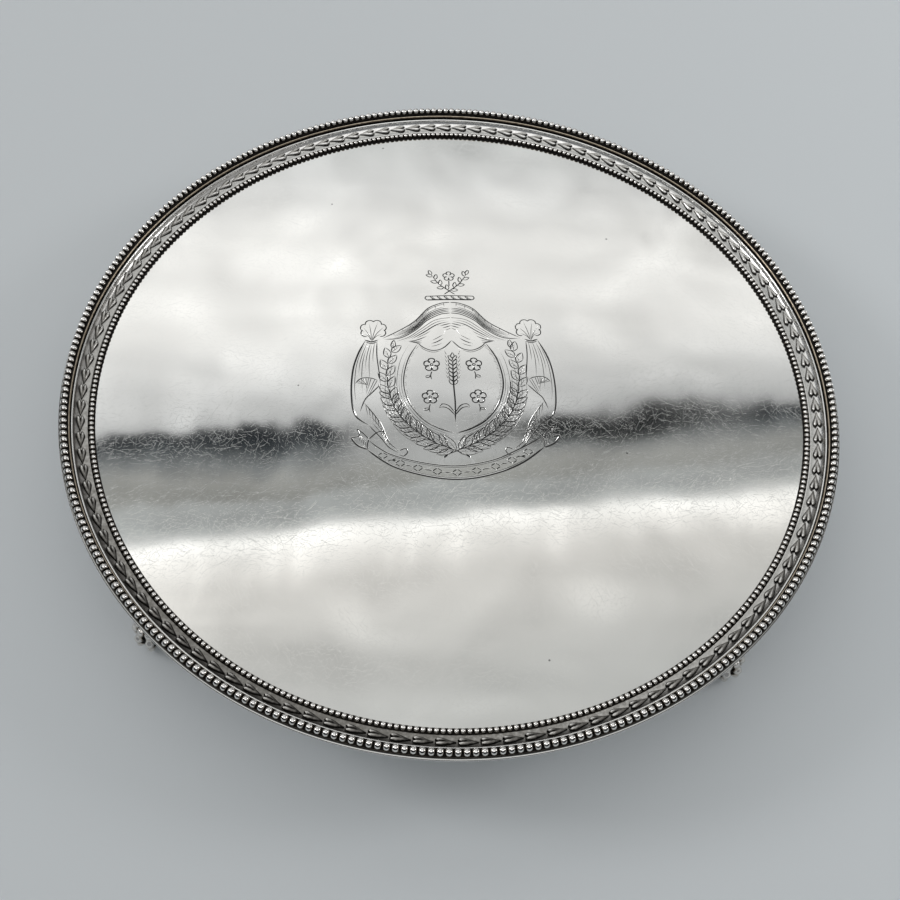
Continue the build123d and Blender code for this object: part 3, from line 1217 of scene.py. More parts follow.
@dataclass
class SalverPlate:
    """The raised plate: an engraved, planished field, bouge, upright wall and flange.

    Args:
        cartouche: The engraving on the field.
        finish: Its material.
        node: The CAD node it stands for.
        segments: Steps round the plate.
        sheet: Thickness of the sheet, in millimetres.
        flange_width: Width of the flange, in millimetres.
        bouge_width: Width of the sloping bouge, in millimetres.
        planish_height: How far the field stands over the border's seat, in millimetres.
        field_radius: Radius of the planished field, in millimetres.
        groove_slope: Steepness of the engraved grooves' sides.
        lip_round: How far the lip's upper edge is rounded off, in millimetres.
        sharpest: Angle over which the plate's edges stay hard, in degrees.
    """

    cartouche: Cartouche
    finish: bpy.types.Material
    node: str = "salver_plate"
    segments: int = 512
    sheet: float = 1.0
    flange_width: float = 3.4
    bouge_width: float = 2.0
    planish_height: float = 0.05
    field_radius: float = 140.35
    groove_slope: float = 0.6
    lip_round: float = 0.32
    sharpest: float = 50.0

    def build(self) -> None:
        """Build the plate as one closed mesh and fix it to the salver's body."""
        low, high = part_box(self.node)
        top, bottom = high.z / MM, low.z / MM
        verts, faces, values, rim = self._engraved_field(bottom + self.sheet + self.planish_height)
        flat_faces = len(faces)
        lip = min(high.x, high.y, -low.x, -low.y) / MM
        before = rim
        for station in self._stations(lip, high.x / MM - self.flange_width, top, bottom):
            ring = list(range(len(verts), len(verts) + self.segments))
            for step in range(self.segments):
                x, y = polar(AXIS, station.radius, 2 * math.pi * step / self.segments)
                verts.append((x * MM, y * MM, station.height * MM))
                values.append(station.tarnish)
                after = (step + 1) % self.segments
                faces.append((before[step], ring[step], ring[after], before[after]))
            before = ring
        middle = len(verts)
        verts.append((0.0, 0.0, bottom * MM))
        values.append(0.1)
        for step in range(self.segments):
            faces.append((before[step], middle, before[(step + 1) % self.segments]))
        mesh = new_mesh(f"{self.node}_engraved", verts, faces, values)
        make_outward(mesh)
        smooth_by_angle(mesh, self.sharpest)
        smooth = [index >= flat_faces for index in range(len(mesh.polygons))]
        mesh.polygons.foreach_set("use_smooth", smooth)
        mesh.materials.append(self.finish)
        log.info("%s: %d cuts, %d faces", self.node, len(self.cartouche.cuts), len(faces))
        fixed_to(link(mesh.name, mesh), "plate_silver", self.node)

    def _stations(self, lip: float, wall: float, top: float, bottom: float) -> list[Station]:
        """The section from the field's edge over the lip and back under the field.

        Args:
            lip: Radius of the flange's edge, in millimetres.
            wall: Radius of the upright wall's inner face, in millimetres.
            top: Height of the flange's upper face, in millimetres.
            bottom: Height of the field's underside, in millimetres.

        Returns:
            The stations in order.
        """
        seat = bottom + self.sheet
        under = top - self.sheet
        corner = self.sheet * math.tan(math.radians(22.5))
        rows = (
            (self.field_radius, seat, 0.8),
            (wall - self.bouge_width, seat, 0.8),
            (wall, seat + self.bouge_width, 0.9),
            (wall, top - 0.2, 0.9),
            (wall + 0.2, top, 1.0),
            (lip - 0.78, top, 1.0),
            (lip - 0.66, top, 0.4),
            (lip - self.lip_round, top, 0.3),
            (lip - 0.1, top - 0.1, 0.2),
            (lip, top - self.lip_round, 0.1),
            (lip, under + 0.25, 0.15),
            (lip - 0.25, under, 0.4),
            (wall + self.sheet, under, 0.9),
            (wall + self.sheet, seat + self.bouge_width - corner, 0.3),
            (wall - self.bouge_width + corner, bottom, 0.1),
            (self.field_radius * 0.6, bottom, 0.1),
        )
        return [Station(*row) for row in rows]

    def _engraved_field(self, height: float) -> tuple[list[Point3], list[Face], list[float], list[int]]:
        """Triangulate the field with every cut as a groove.

        Args:
            height: Height of the field, in millimetres.

        Returns:
            Vertices in metres, faces, tarnish values and the rim's vertex numbers.
        """
        turns = [2 * math.pi * step / self.segments for step in range(self.segments)]
        points = [Vector(polar(AXIS, self.field_radius, turn)) for turn in turns]
        edges = [(step, (step + 1) % self.segments) for step in range(self.segments)]
        samples: list[tuple[Vector, float]] = []
        for cut in self.cartouche.draw():
            line = [Vector(point) for point in cut.line]
            last = len(line) - 1
            halves = [cut.half_width(index / last) for index in range(last + 1)]
            for side in (-1, 0, 1):
                start = len(points)
                for index, point in enumerate(line):
                    way = line[min(index + 1, last)] - line[max(index - 1, 0)]
                    across = Vector((-way.y, way.x)).normalized()
                    points.append(point + across * side * halves[index])
                edges.extend((start + index, start + index + 1) for index in range(last))
            for index in range(last):
                for part in range(6):
                    share = part / 6
                    spot = line[index].lerp(line[index + 1], share)
                    samples.append((spot, halves[index] * (1 - share) + halves[index + 1] * share))
        tree = KDTree(len(samples))
        for index, (spot, _half) in enumerate(samples):
            tree.insert((spot.x, spot.y, 0.0), index)
        tree.balance()
        widest = max(half for _spot, half in samples)
        flat, _edges, faces, origins, *_old = delaunay_2d_cdt(points, edges, [], 0, 1e-4)
        verts: list[Point3] = []
        values: list[float] = []
        rim = [0] * self.segments
        for number, (point, sources) in enumerate(zip(flat, origins)):
            depth = 0.0
            for _spot, index, away in tree.find_range((point.x, point.y, 0.0), widest):
                half = samples[index][1]
                if away < 0.85 * half:
                    depth = max(depth, self.groove_slope * (half - away))
            verts.append((point.x * MM, point.y * MM, (height - depth) * MM))
            values.append(min(1.0, max(0.0, depth / 0.08 - 0.3) / 0.7) * 1.6)
            for source in sources:
                if source < self.segments:
                    rim[source] = number
        return verts, [tuple(face) for face in faces], values, rim


@dataclass(kw_only=True)
class Lengths:
    """A moulding in equal lengths: a strip turned about the axis, with a row of items on it.

    Args:
        prefix: What its CAD nodes' names begin with.
        lengths: How many lengths go round.
        count: Items on one length.
        finish: Its material.
        tree: The row tree.
        gap: Gap between lengths, in millimetres.
        jitter: How much the items' sizes vary.
        slot: The record's material slot.
        suffix: What the finished pieces' names end with.
        seed: Seed of the first length's random sizes.
        sharpest: Angle over which edges stay hard, in degrees.
    """

    prefix: str
    lengths: int
    count: int
    finish: bpy.types.Material
    tree: bpy.types.NodeTree
    gap: float = 0.05
    jitter: float
    slot: ClassVar[str]
    suffix: ClassVar[str]
    seed: ClassVar[int]
    sharpest: ClassVar[float]

    def _age(self, mesh: bpy.types.Mesh) -> None:
        """Paint shade onto a length that stands in its place; a plain moulding adds none."""

    def _strip(self, section: Sequence[Station], segments: int, row_radius: float) -> bpy.types.Mesh:
        """Turn one length's strip, a gap short of its full span."""
        trim = math.degrees(self.gap / row_radius)
        return revolved(f"{self.prefix}_strip", section, segments, 360.0 / self.lengths - trim)

    def _assemble(
        self, strip: bpy.types.Mesh, item: bpy.types.Object, row_radius: float, height: float
    ) -> None:
        """Set the row of items on the strip for every length, and fix each to the body.

        Args:
            strip: The strip of one length.
            item: The object that is repeated; it is removed at the end.
            row_radius: Radius of the row, in millimetres.
            height: Height of the row, in millimetres.
        """
        span = 360.0 / self.lengths
        step = math.radians(span) / self.count
        values = {
            RowInput.COUNT: self.count,
            RowInput.ROW_RADIUS: row_radius * MM,
            RowInput.HEIGHT: height * MM,
            RowInput.FIRST_ANGLE: step / 2,
            RowInput.STEP_ANGLE: step,
            RowInput.SIZE_JITTER: self.jitter,
            RowInput.FINISH: self.finish,
        }
        for number in range(self.lengths):
            node = f"{self.prefix}_{number + 1}"
            values[RowInput.SEED] = self.seed + number
            row = row_mesh(self.tree, item, f"{node}_row", values)
            mesh = join_meshes(f"{node}_{self.suffix}", [strip, row], self.finish)
            mesh.transform(Matrix.Rotation(math.radians(span * number), 4, "Z"))
            self._age(mesh)
            smooth_by_angle(mesh, self.sharpest)
            fixed_to(link(mesh.name, mesh), self.slot, node)
            log.info("%s: %d in a row", node, self.count)
        bpy.data.objects.remove(item)


@dataclass(kw_only=True)
class BeadWire(Lengths):
    """Beaded wire in equal lengths: a soldered strip with a row of solid beads.

    Args:
        bead_radius: Radius of a bead's seat, in millimetres.
        strip_height: Height of the strip, in millimetres.
        dark_below: Share of the bead's radius above its middle where its darkening begins: painted shade on
            its lower part, deepening to tarnish where it meets the strip.
        margin: Strip's edge outside the beads, in millimetres.
        shoulder: How far the strip's upper edges are sloped off, in millimetres.
        bead_share: Size of a bead as a share of its seat.
    """

    bead_radius: float
    strip_height: float
    jitter: float = 0.02
    dark_below: float = 0.2
    margin: float = 0.1
    shoulder: float = 0.25
    bead_share: float = 0.98
    slot: ClassVar[str] = "wire_silver"
    suffix: ClassVar[str] = "beaded"
    seed: ClassVar[int] = 11
    sharpest: ClassVar[float] = 50.0

    def build(self) -> None:
        """Build every length."""
        low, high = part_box(f"{self.prefix}_1")
        half = self.bead_radius + self.margin
        row_radius = high.x / MM - half
        base = low.z / MM
        top = base + self.strip_height
        outer, inner = row_radius + half, row_radius - half
        section = [
            Station(outer, base, 1.0),
            Station(outer, top - self.shoulder, 0.7),
            Station(outer - self.shoulder, top, 0.8),
            Station(row_radius, top, 1.0),
            Station(inner + self.shoulder, top, 0.9),
            Station(inner, top - self.shoulder, 0.8),
            Station(inner, base, 1.0),
        ]
        strip = self._strip(section, self.count * 2, row_radius)
        self._assemble(strip, self._bead(), row_radius, high.z / MM - self.bead_radius)

    def _bead(self) -> bpy.types.Object:
        """One bead at the origin, with painted shade low down and tarnish where it meets its neighbours.

        Returns:
            The bead as an object to be repeated.
        """
        radius = self.bead_radius * MM
        work = bmesh.new()
        bmesh.ops.create_uvsphere(work, u_segments=12, v_segments=8, radius=radius * self.bead_share)
        mesh = bpy.data.meshes.new(f"{self.prefix}_bead")
        work.to_mesh(mesh)
        work.free()
        mesh.shade_smooth()
        values = []
        for vert in mesh.vertices:
            # Painted shade on the lower part, deepening to tarnish where it meets the strip; tarnish between
            # the beads.
            shaded_lower_part = (self.dark_below - vert.co.z / radius) / 0.4
            at_side = (abs(vert.co.x) / radius - 0.62) / 0.2
            values.append(min(1.0, max(0.0, shaded_lower_part, at_side)))
        store_tarnish_and_shade(mesh, values)
        return link(mesh.name, mesh)


@dataclass
class Husk:
    """One husk: a crowned leaf with a notched, two-lobed end and a point at the other.

    Args:
        length: Its length without its lobes, in millimetres.
        half_width: Half its greatest breadth, in millimetres.
        crown: Height of its middle over its edge, in millimetres.
        skirt: How far its edge goes down into the hollow, in millimetres.
        lobe: How far its lobes reach back, in millimetres.
        tilt: How far it leans towards the field, in degrees.
        along: Where its rows lie, as shares of its length from the lobes to the point.
        spread: Breadth of each row, as a share of the greatest.
        rise: Height of each row, as a share of the crown.
        across: Where the points of a row lie, from one edge to the other.
    """

    length: float = 5.9
    half_width: float = 1.75
    crown: float = 1.1
    skirt: float = 0.65
    lobe: float = 1.15
    tilt: float = 21.0
    along: tuple[float, ...] = (0.0, 0.1, 0.24, 0.42, 0.62, 0.82, 1.0)
    spread: tuple[float, ...] = (0.8, 1.0, 0.95, 0.74, 0.5, 0.27, 0.1)
    rise: tuple[float, ...] = (0.5, 1.0, 1.0, 0.82, 0.62, 0.42, 0.16)
    across: tuple[float, ...] = (-1.0, -0.78, -0.45, 0.0, 0.45, 0.78, 1.0)

    def build(self) -> bpy.types.Object:
        """Build the husk along local X, its point towards +X.

        Returns:
            The husk as an object to be repeated.
        """
        verts: list[Point3] = []
        values: list[float] = []
        for u, wide, tall in zip(self.along, self.spread, self.rise):
            for v in self.across:
                back = self.lobe * (1 - u) ** 3 * math.sin(math.pi * abs(v))
                valley = max(0.0, 1 - u / 0.7)
                lobed = math.sin(math.pi * min(1.0, 0.12 + abs(v) * 0.88)) ** 0.7
                ridged = 1 - abs(v) ** 1.3
                x = self.length * (u - 0.5) - back
                z = self.crown * tall * (lobed * valley + ridged * (1 - valley))
                verts.append((x, self.half_width * wide * v, z))
                # Painted shade on the flanks and towards the point, so that only the crown stays bright;
                # tarnish in the notch, at the heel and on the skirt.
                edge = max(0.0, (abs(v) - 0.62) / 0.38)
                crease = valley * max(0.0, 1 - abs(v) / 0.4)
                heel = 0.9 if u == 0.0 else 0.0
                values.append(min(1.0, max(edge, crease, 0.5 * u**1.5, heel)))
        rows, columns = len(self.along), len(self.across)
        faces: list[Face] = []
        for row in range(rows - 1):
            for column in range(columns - 1):
                here = row * columns + column
                faces.append((here, here + columns, here + columns + 1, here + 1))
        rim = list(range(columns))
        rim += [row * columns + columns - 1 for row in range(1, rows)]
        rim += [(rows - 1) * columns + column for column in range(columns - 2, -1, -1)]
        rim += [row * columns for row in range(rows - 2, 0, -1)]
        foot = range(len(verts), len(verts) + len(rim))
        for index in rim:
            x, y, _z = verts[index]
            verts.append((x * 0.97, y * 0.97, -self.skirt))
            values.append(1.0)
        for step, index in enumerate(rim):
            after = (step + 1) % len(rim)
            faces.append((index, rim[after], foot[after], foot[step]))
        faces.append(tuple(foot))
        mesh = new_mesh("husk", [(x * MM, y * MM, z * MM) for x, y, z in verts], faces, values)
        make_outward(mesh)
        mesh.transform(Matrix.Rotation(-math.radians(self.tilt), 4, "X"))
        return link("husk_item", mesh)


@dataclass(kw_only=True)
class HuskBorder(Lengths):
    """The cast border: a hollow band with a ridge, in lengths, with its row of husks.

    Args:
        husk: The husk that is repeated.
        segments: Steps along one length of the band.
        row_inset: From the wall to the row of husks, in millimetres.
        row_height: Height of the husks' edges over the seat, in millimetres.
        ridge_radius: Radius of the ridge's rounded top, in millimetres.
        side_shade: Painted shade that is added on the darker side.
        side_shade_heading: Where the painted shade is heaviest, in degrees.
    """

    husk: Husk
    prefix: str = "husk_border"
    lengths: int = 4
    count: int = 31
    jitter: float = 0.015
    segments: int = 128
    row_inset: float = 3.6
    row_height: float = 2.0
    ridge_radius: float = 0.55
    side_shade: float = 0.42
    side_shade_heading: float = 246.0
    slot: ClassVar[str] = "border_silver"
    suffix: ClassVar[str] = "cast"
    seed: ClassVar[int] = 31
    sharpest: ClassVar[float] = 62.0

    def build(self) -> None:
        """Build every length."""
        low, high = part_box(f"{self.prefix}_1")
        wall = high.x / MM + 2 * self.gap
        seat = low.z / MM
        row_radius = wall - self.row_inset
        band = self._strip(self._section(wall, seat), self.segments, row_radius)
        self._assemble(band, self.husk.build(), row_radius, seat + self.row_height)

    def _section(self, wall: float, seat: float) -> list[Station]:
        """The band's closed section.

        Args:
            wall: Radius of the plate's upright wall, in millimetres.
            seat: Height of the band's seat, in millimetres.

        Returns:
            The stations, anticlockwise.
        """
        back = [(-2.1, 0.0, 1.0), (-0.1, 2.0, 1.0), (-0.1, 5.2, 1.0), (-0.38, 5.2, 0.7), (-0.46, 4.78, 1.0)]
        ridge = []
        for step in range(7):
            spot = polar((-1.0, 4.1), self.ridge_radius, math.radians(12 + step * 31))
            ridge.append((*spot, 0.0 if step else 0.7))
        hollow = [(-1.62, 3.42, 0.2), (-2.05, 2.74, 0.1), (-2.7, 2.16, 0.1), (-3.6, 1.7, 0.16)]
        hollow += [(-4.5, 1.4, 0.1), (-5.2, 1.24, 0.1), (-5.75, 1.16, 0.1)]
        edge = [(-6.1, 1.1, 0.1), (-6.25, 0.9, 0.6), (-6.25, 0.0, 1.0)]
        return [Station(wall + x, seat + z, shade) for x, z, shade in back + ridge + hollow + edge]

    def _age(self, mesh: bpy.types.Mesh) -> None:
        """Add painted shade that is heavier on one side of the salver, on the band's ground but not on the
        husks' crowns.

        Args:
            mesh: A length that stands in its place.
        """
        for vert, stored in zip(mesh.vertices, mesh.attributes[TARNISH_AND_SHADE].data):
            turn = math.atan2(vert.co.y, vert.co.x) - math.radians(self.side_shade_heading)
            side = (0.5 + 0.5 * math.cos(turn)) ** 2
            # Painted shade: the ground grows darker towards one side of the salver; the husks' bright crowns
            # are left alone.
            stored.value = min(1.0, stored.value + self.side_shade * side * min(1.0, stored.value / 0.1))


@dataclass
class StepWire:
    """The plain half-round wire that lines the step inside the outer beads.

    Args:
        finish: Its material.
        node: The CAD node it stands for.
        width: Width of the wire, in millimetres.
        nose_radius: Radius of its rounded inner face, in millimetres.
        nose_steps: Points on the rounded inner face.
        sharpest: Angle over which its edges stay hard, in degrees.
    """

    finish: bpy.types.Material
    node: str = "step_wire"
    width: float = 0.75
    nose_radius: float = 0.5
    nose_steps: int = 7
    sharpest: float = 50.0

    def build(self) -> None:
        """Build the wire and fix it to the salver's body."""
        low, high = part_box(self.node)
        outer, base, top = high.x / MM, low.z / MM, high.z / MM
        nose = outer - self.width + self.nose_radius
        section = [Station(outer, base, 1.0), Station(outer, top, 0.6), Station(outer - 0.2, top, 0.3)]
        for step in range(self.nose_steps):
            turn = math.radians(115 + step * 130 / (self.nose_steps - 1))
            height = (base + top) / 2 + (top - base) / 2 * math.sin(turn)
            section.append(Station(nose + self.nose_radius * math.cos(turn), height, 0.2 + 0.14 * step))
        mesh = revolved(f"{self.node}_drawn", section, 360)
        smooth_by_angle(mesh, self.sharpest)
        mesh.materials.append(self.finish)
        fixed_to(link(mesh.name, mesh), "wire_silver", self.node)
        log.info("%s: closed ring", self.node)


@dataclass
class ClawFoot:
    """A cast claw-and-ball foot, modelled at +X and turned to its place.

    Args:
        finish: Its material.
        prefix: What its CAD nodes' names begin with.
        count: How many feet there are.
        first_angle: Where the first one stands, in degrees.
        ball_distance: Distance of the ball's middle from the salver's axis, in millimetres.
        ball_radius: Radius of the ball, in millimetres.
        ball_height: Height of the ball's middle, in millimetres.
        talon_radius: Thickness of a talon, in millimetres.
        talon_path: Radius of the talons' middle line round the ball, in millimetres.
        talon_headings: Which way each talon goes, in degrees.
        pad_inset: How far the pad's middle is inside the ball's, in millimetres.
        voxel: Size of the remesh, in millimetres.
        tube_sides: Sides of a tube before the remesh.
        relaxing: Rounds of smoothing that find the recesses.
    """

    finish: bpy.types.Material
    prefix: str = "foot"
    count: int = 4
    first_angle: float = 45.0
    ball_distance: float = 147.4
    ball_radius: float = 5.6
    ball_height: float = 5.25
    talon_radius: float = 1.35
    talon_path: float = 6.5
    talon_headings: tuple[float, ...] = (0.0, 44.0, -44.0, 180.0)
    pad_inset: float = 10.5
    voxel: float = 0.33
    tube_sides: int = 12
    relaxing: int = 14

    def build(self) -> None:
        """Build the casting once, and set one at each corner, fixed to the salver's body."""
        _low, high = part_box(f"{self.prefix}_1")
        casting = self._casting(high.z / MM)
        for number in range(self.count):
            node = f"{self.prefix}_{number + 1}"
            mesh = casting.copy()
            mesh.name = f"{node}_cast"
            turn = math.radians(self.first_angle + number * 360 / self.count)
            mesh.transform(Matrix.Rotation(turn, 4, "Z"))
            mesh.materials.append(self.finish)
            fixed_to(link(mesh.name, mesh), "cast_foot_silver", node)
            log.info("%s: %d faces", node, len(mesh.polygons))
        bpy.data.meshes.remove(casting)

    def _casting(self, top: float) -> bpy.types.Mesh:
        """Model the whole foot and fuse it into one skin.

        Args:
            top: Height of the pad's upper face, in millimetres.

        Returns:
            The casting's mesh, in metres, standing at +X.
        """
        work = bmesh.new()
        ball = Vector((self.ball_distance, 0.0, self.ball_height))
        self._ball(work, ball, self.ball_radius)
        for heading in self.talon_headings:
            self._talon(work, ball, heading)
        self._leg(work, ball, top)
        self._knee_leaf(work, ball)
        self._pad(work, top)
        for side in (1, -1):
            self._scroll(work, top, side)
        for vert in work.verts:
            vert.co *= MM
        rough = bpy.data.meshes.new("foot_parts")
        work.to_mesh(rough)
        work.free()
        holder = link("foot_parts", rough)
        remesh = holder.modifiers.new("fuse", "REMESH")
        remesh.mode = "VOXEL"
        remesh.voxel_size = self.voxel * MM
        relax = holder.modifiers.new("relax", "SMOOTH")
        relax.factor = 0.5
        relax.iterations = 3
        mesh = baked(holder)
        for vert in mesh.vertices:
            vert.co.z = min(max(vert.co.z, 0.0), top * MM)
        mesh.shade_smooth()
        store_tarnish_and_shade(mesh, self._recesses_and_shade(mesh))
        return mesh

    def _ball(self, work: bmesh.types.BMesh, spot: Vector, radius: float, flat: float = 1.0) -> None:
        """Add a ball, flattened upwards by a factor.

        Args:
            work: The mesh it is added to.
            spot: Its middle.
            radius: Its radius.
            flat: Its height as a share of its breadth.
        """
        made = bmesh.ops.create_icosphere(work, subdivisions=3, radius=radius)
        for vert in made["verts"]:
            vert.co.z *= flat
            vert.co += spot

    def _tube(self, work: bmesh.types.BMesh, path: Sequence[Vector], radii: Sequence[float]) -> None:
        """Add a closed tube with rounded ends along a path.

        Args:
            work: The mesh it is added to.
            path: Points along its middle, in millimetres.
            radii: Its radius at each point.
        """
        sides = self.tube_sides
        rings = []
        for index, (spot, radius) in enumerate(zip(path, radii)):
            way = (path[min(index + 1, len(path) - 1)] - path[max(index - 1, 0)]).normalized()
            side = way.orthogonal().normalized()
            up = way.cross(side)
            ring = []
            for step in range(sides):
                turn = 2 * math.pi * step / sides
                ring.append(work.verts.new(spot + (side * math.cos(turn) + up * math.sin(turn)) * radius))
            rings.append(ring)
        for first, second in zip(rings, rings[1:]):
            best = min(range(sides), key=lambda shift: (second[shift].co - first[0].co).length)
            for step in range(sides):
                after = (step + 1) % sides
                far = second[(after + best) % sides], second[(step + best) % sides]
                work.faces.new((first[step], first[after], *far))
        work.faces.new(tuple(reversed(rings[0])))
        work.faces.new(tuple(rings[-1]))
        for end in (0, -1):
            self._ball(work, path[end], radii[end])

    def _talon(self, work: bmesh.types.BMesh, ball: Vector, heading: float) -> None:
        """Add one knuckled talon with its claw, bent over the ball.

        Args:
            work: The mesh it is added to.
            ball: Middle of the ball.
            heading: Which way the talon goes, in degrees.
        """
        out = Vector((*polar(AXIS, 1.0, math.radians(heading)), 0.0))

        def over_ball(angle: float, radius: float) -> Vector:
            """Point over the ball, at an angle in degrees from its top."""
            turn = math.radians(angle)
            return ball + (out * math.sin(turn) + Vector((0, 0, math.cos(turn)))) * radius

        path, radii = [], []
        for step in range(14):
            angle = 14 + step * 7.2
            knuckles = ((38, 0.75), (70, 0.7), (100, 0.55))
            swell = sum(size * math.exp(-(((angle - middle) / 8) ** 2)) for middle, size in knuckles)
            path.append(over_ball(angle, self.talon_path))
            radii.append(self.talon_radius * (0.92 - 0.012 * step) + swell)
        self._tube(work, path, radii)
        claw = [over_ball(106 + step * 7.5, self.talon_path - 0.09 * step) for step in range(6)]
        self._tube(work, claw, [1.05 - 0.15 * step for step in range(6)])

    def _leg(self, work: bmesh.types.BMesh, ball: Vector, top: float) -> None:
        """Add the bent leg from the ball up to the pad.

        Args:
            work: The mesh it is added to.
            ball: Middle of the ball.
            top: Height of the pad's upper face.
        """
        rows = ((0.0, 5.6), (0.1, 7.4), (-0.4, 9.4), (-2.2, 12.2), (-5.4, 15.2))
        path = [ball + Vector((x, 0.0, z)) for x, z in rows]
        path.append(Vector((self.ball_distance - self.pad_inset, 0.0, top - 1.6)))
        self._tube(work, path, [3.3, 2.7, 2.6, 3.6, 4.5, 4.3])

    def _knee_leaf(self, work: bmesh.types.BMesh, ball: Vector) -> None:
        """Add the leaf over the knee: ribs that fan out and down the leg.

        Args:
            work: The mesh it is added to.
            ball: Middle of the ball.
        """
        for spread, length in ((0, 1.0), (26, 0.92), (-26, 0.92), (52, 0.78), (-52, 0.78)):
            turn = math.radians(spread)
            path = []
            for step in range(6):
                share = step / 5
                x = -6.4 + 6.6 * share**0.8 * math.cos(turn) * length
                y = 5.4 * math.sin(turn) * math.sin(math.pi * (0.25 + 0.6 * share)) * length
                z = 18.4 - 9.0 * share**1.3 * length
                path.append(ball + Vector((x + 0.9 * math.cos(turn), y, z)))
            self._tube(work, path, [1.3, 1.35, 1.3, 1.1, 0.85, 0.6])

    def _pad(self, work: bmesh.types.BMesh, top: float) -> None:
        """Add the lobed pad that is soldered to the plate.

        Args:
            work: The mesh it is added to.
            top: Height of the pad's upper face.
        """
        middle = Vector((self.ball_distance - self.pad_inset, 0.0, top - 1.25))
        for dx, dy, size in ((0, 0, 6.4), (4.0, 0, 4.6), (-4.2, 0, 4.4), (0.2, 4.6, 3.4), (0.2, -4.6, 3.4)):
            self._ball(work, middle + Vector((dx, dy, 0.0)), size, 0.19)

    def _scroll(self, work: bmesh.types.BMesh, top: float, side: int) -> None:
        """Add a scroll under the pad, beside the leg.

        Args:
            work: The mesh it is added to.
            top: Height of the pad's upper face.
            side: Which side of the leg, 1 or -1.
        """
        path = []
        for step in range(9):
            centre, radius = (self.ball_distance - 7.4, top - 4.0), 2.2 * (1 - step * 0.075)
            x, z = polar(centre, radius, math.radians(step * 38))
            path.append(Vector((x, side * (3.9 + 0.15 * step), z)))
        self._tube(work, path, [0.95 - 0.04 * step for step in range(9)])

    def _recesses_and_shade(self, mesh: bpy.types.Mesh) -> list[float]:
        """Find how deep in a recess each point is, for its tarnish, over painted shade that darkens all but
        the heights.

        Args:
            mesh: The fused casting.

        Returns:
            A value from 0 on the heights to 1 in the recesses.
        """
        count = len(mesh.vertices)
        places = np.zeros(count * 3)
        mesh.vertices.foreach_get("co", places)
        places = places.reshape(-1, 3)
        normals = np.array([tuple(vert.normal) for vert in mesh.vertices])
        ends = np.zeros(len(mesh.edges) * 2, int)
        mesh.edges.foreach_get("vertices", ends)
        first, second = ends.reshape(-1, 2).T
        degree = np.bincount(np.concatenate([first, second]), minlength=count)[:, None]
        soft = places.copy()
        for _round in range(self.relaxing):
            total = np.zeros_like(soft)
            np.add.at(total, first, soft[second])
            np.add.at(total, second, soft[first])
            soft = 0.5 * soft + 0.5 * total / degree
        depth = ((soft - places) * normals).sum(1) / MM
        # Painted shade: the 0.75 base darkens every surface but the heights, as the foot stands in shade
        # under the rim; deeper recesses add tarnish.
        return np.clip(0.75 + depth * 9.0, 0.0, 1.0).tolist()


# --- Studio ----------------------------------------------------------------------------------


# The tones that the metal mirrors from the ceiling, from the gap's near side to its far side.
CEILING_TONES = (
    (0.00, (0.56, 0.57, 0.56)),
    (0.08, (0.58, 0.59, 0.58)),
    (0.24, (0.70, 0.69, 0.665)),
    (0.275, (0.97, 0.96, 0.93)),
    (0.297, (1.30, 1.30, 1.27)),
    (0.308, (0.46, 0.48, 0.48)),
    (0.325, (0.34, 0.36, 0.36)),
    (0.35, (0.41, 0.43, 0.43)),
    (0.356, (0.28, 0.285, 0.27)),
    (0.378, (0.34, 0.345, 0.33)),
    (0.40, (0.20, 0.215, 0.22)),
    (0.425, (0.045, 0.052, 0.057)),
    (0.436, (0.02, 0.023, 0.027)),
    (0.448, (0.016, 0.019, 0.022)),
    (0.456, (0.50, 0.51, 0.515)),
    (0.50, (0.68, 0.69, 0.69)),
    (0.60, (0.88, 0.88, 0.865)),
    (0.76, (0.90, 0.90, 0.885)),
    (0.88, (0.70, 0.71, 0.71)),
    (1.00, (0.58, 0.60, 0.60)),
)


@dataclass(frozen=True)
class Card:
    """A glowing sheet that only the metal mirrors.

    Args:
        name: Its name.
        verts: Its points, in metres.
        glow: How brightly it glows, from 0 for black.
        faces: Its faces.
        front_glow: Glow that is added towards its front.
        nearer_than: How near the metal has to be to mirror it, in metres.
    """

    name: str
    verts: Sequence[Point3]
    glow: float
    faces: Sequence[Face] = ((0, 1, 2, 3),)
    front_glow: float = 0.0
    nearer_than: float = 100.0

    def build(self, front: float, fade: float) -> bpy.types.Object:
        """Build the card.

        Args:
            front: Where the added glow begins, in metres along y.
            fade: Over what distance towards -y it grows to the full.

        Returns:
            The card.
        """
        mesh = new_mesh(self.name, self.verts, self.faces)
        material, nodes = new_material(self.name)
        _x, y, _z = nodes.split(nodes.place())
        strength = ((front - y) / fade).clamped() * self.front_glow + self.glow
        glow = nodes.emission((1.0, 1.0, 1.0, 1.0), strength)
        clear = nodes.value("ShaderNodeBsdfTransparent")
        distance = nodes.value("ShaderNodeLightPath", output="Ray Length")
        far_off = nodes.math("GREATER_THAN", distance, self.nearer_than)
        nodes.add("ShaderNodeOutputMaterial", {"Surface": nodes.mix_shader(far_off, glow, clear)})
        mesh.materials.append(material)
        card = link(self.name, mesh)
        card.visible_camera = False
        card.visible_diffuse = False
        card.visible_shadow = False
        return card


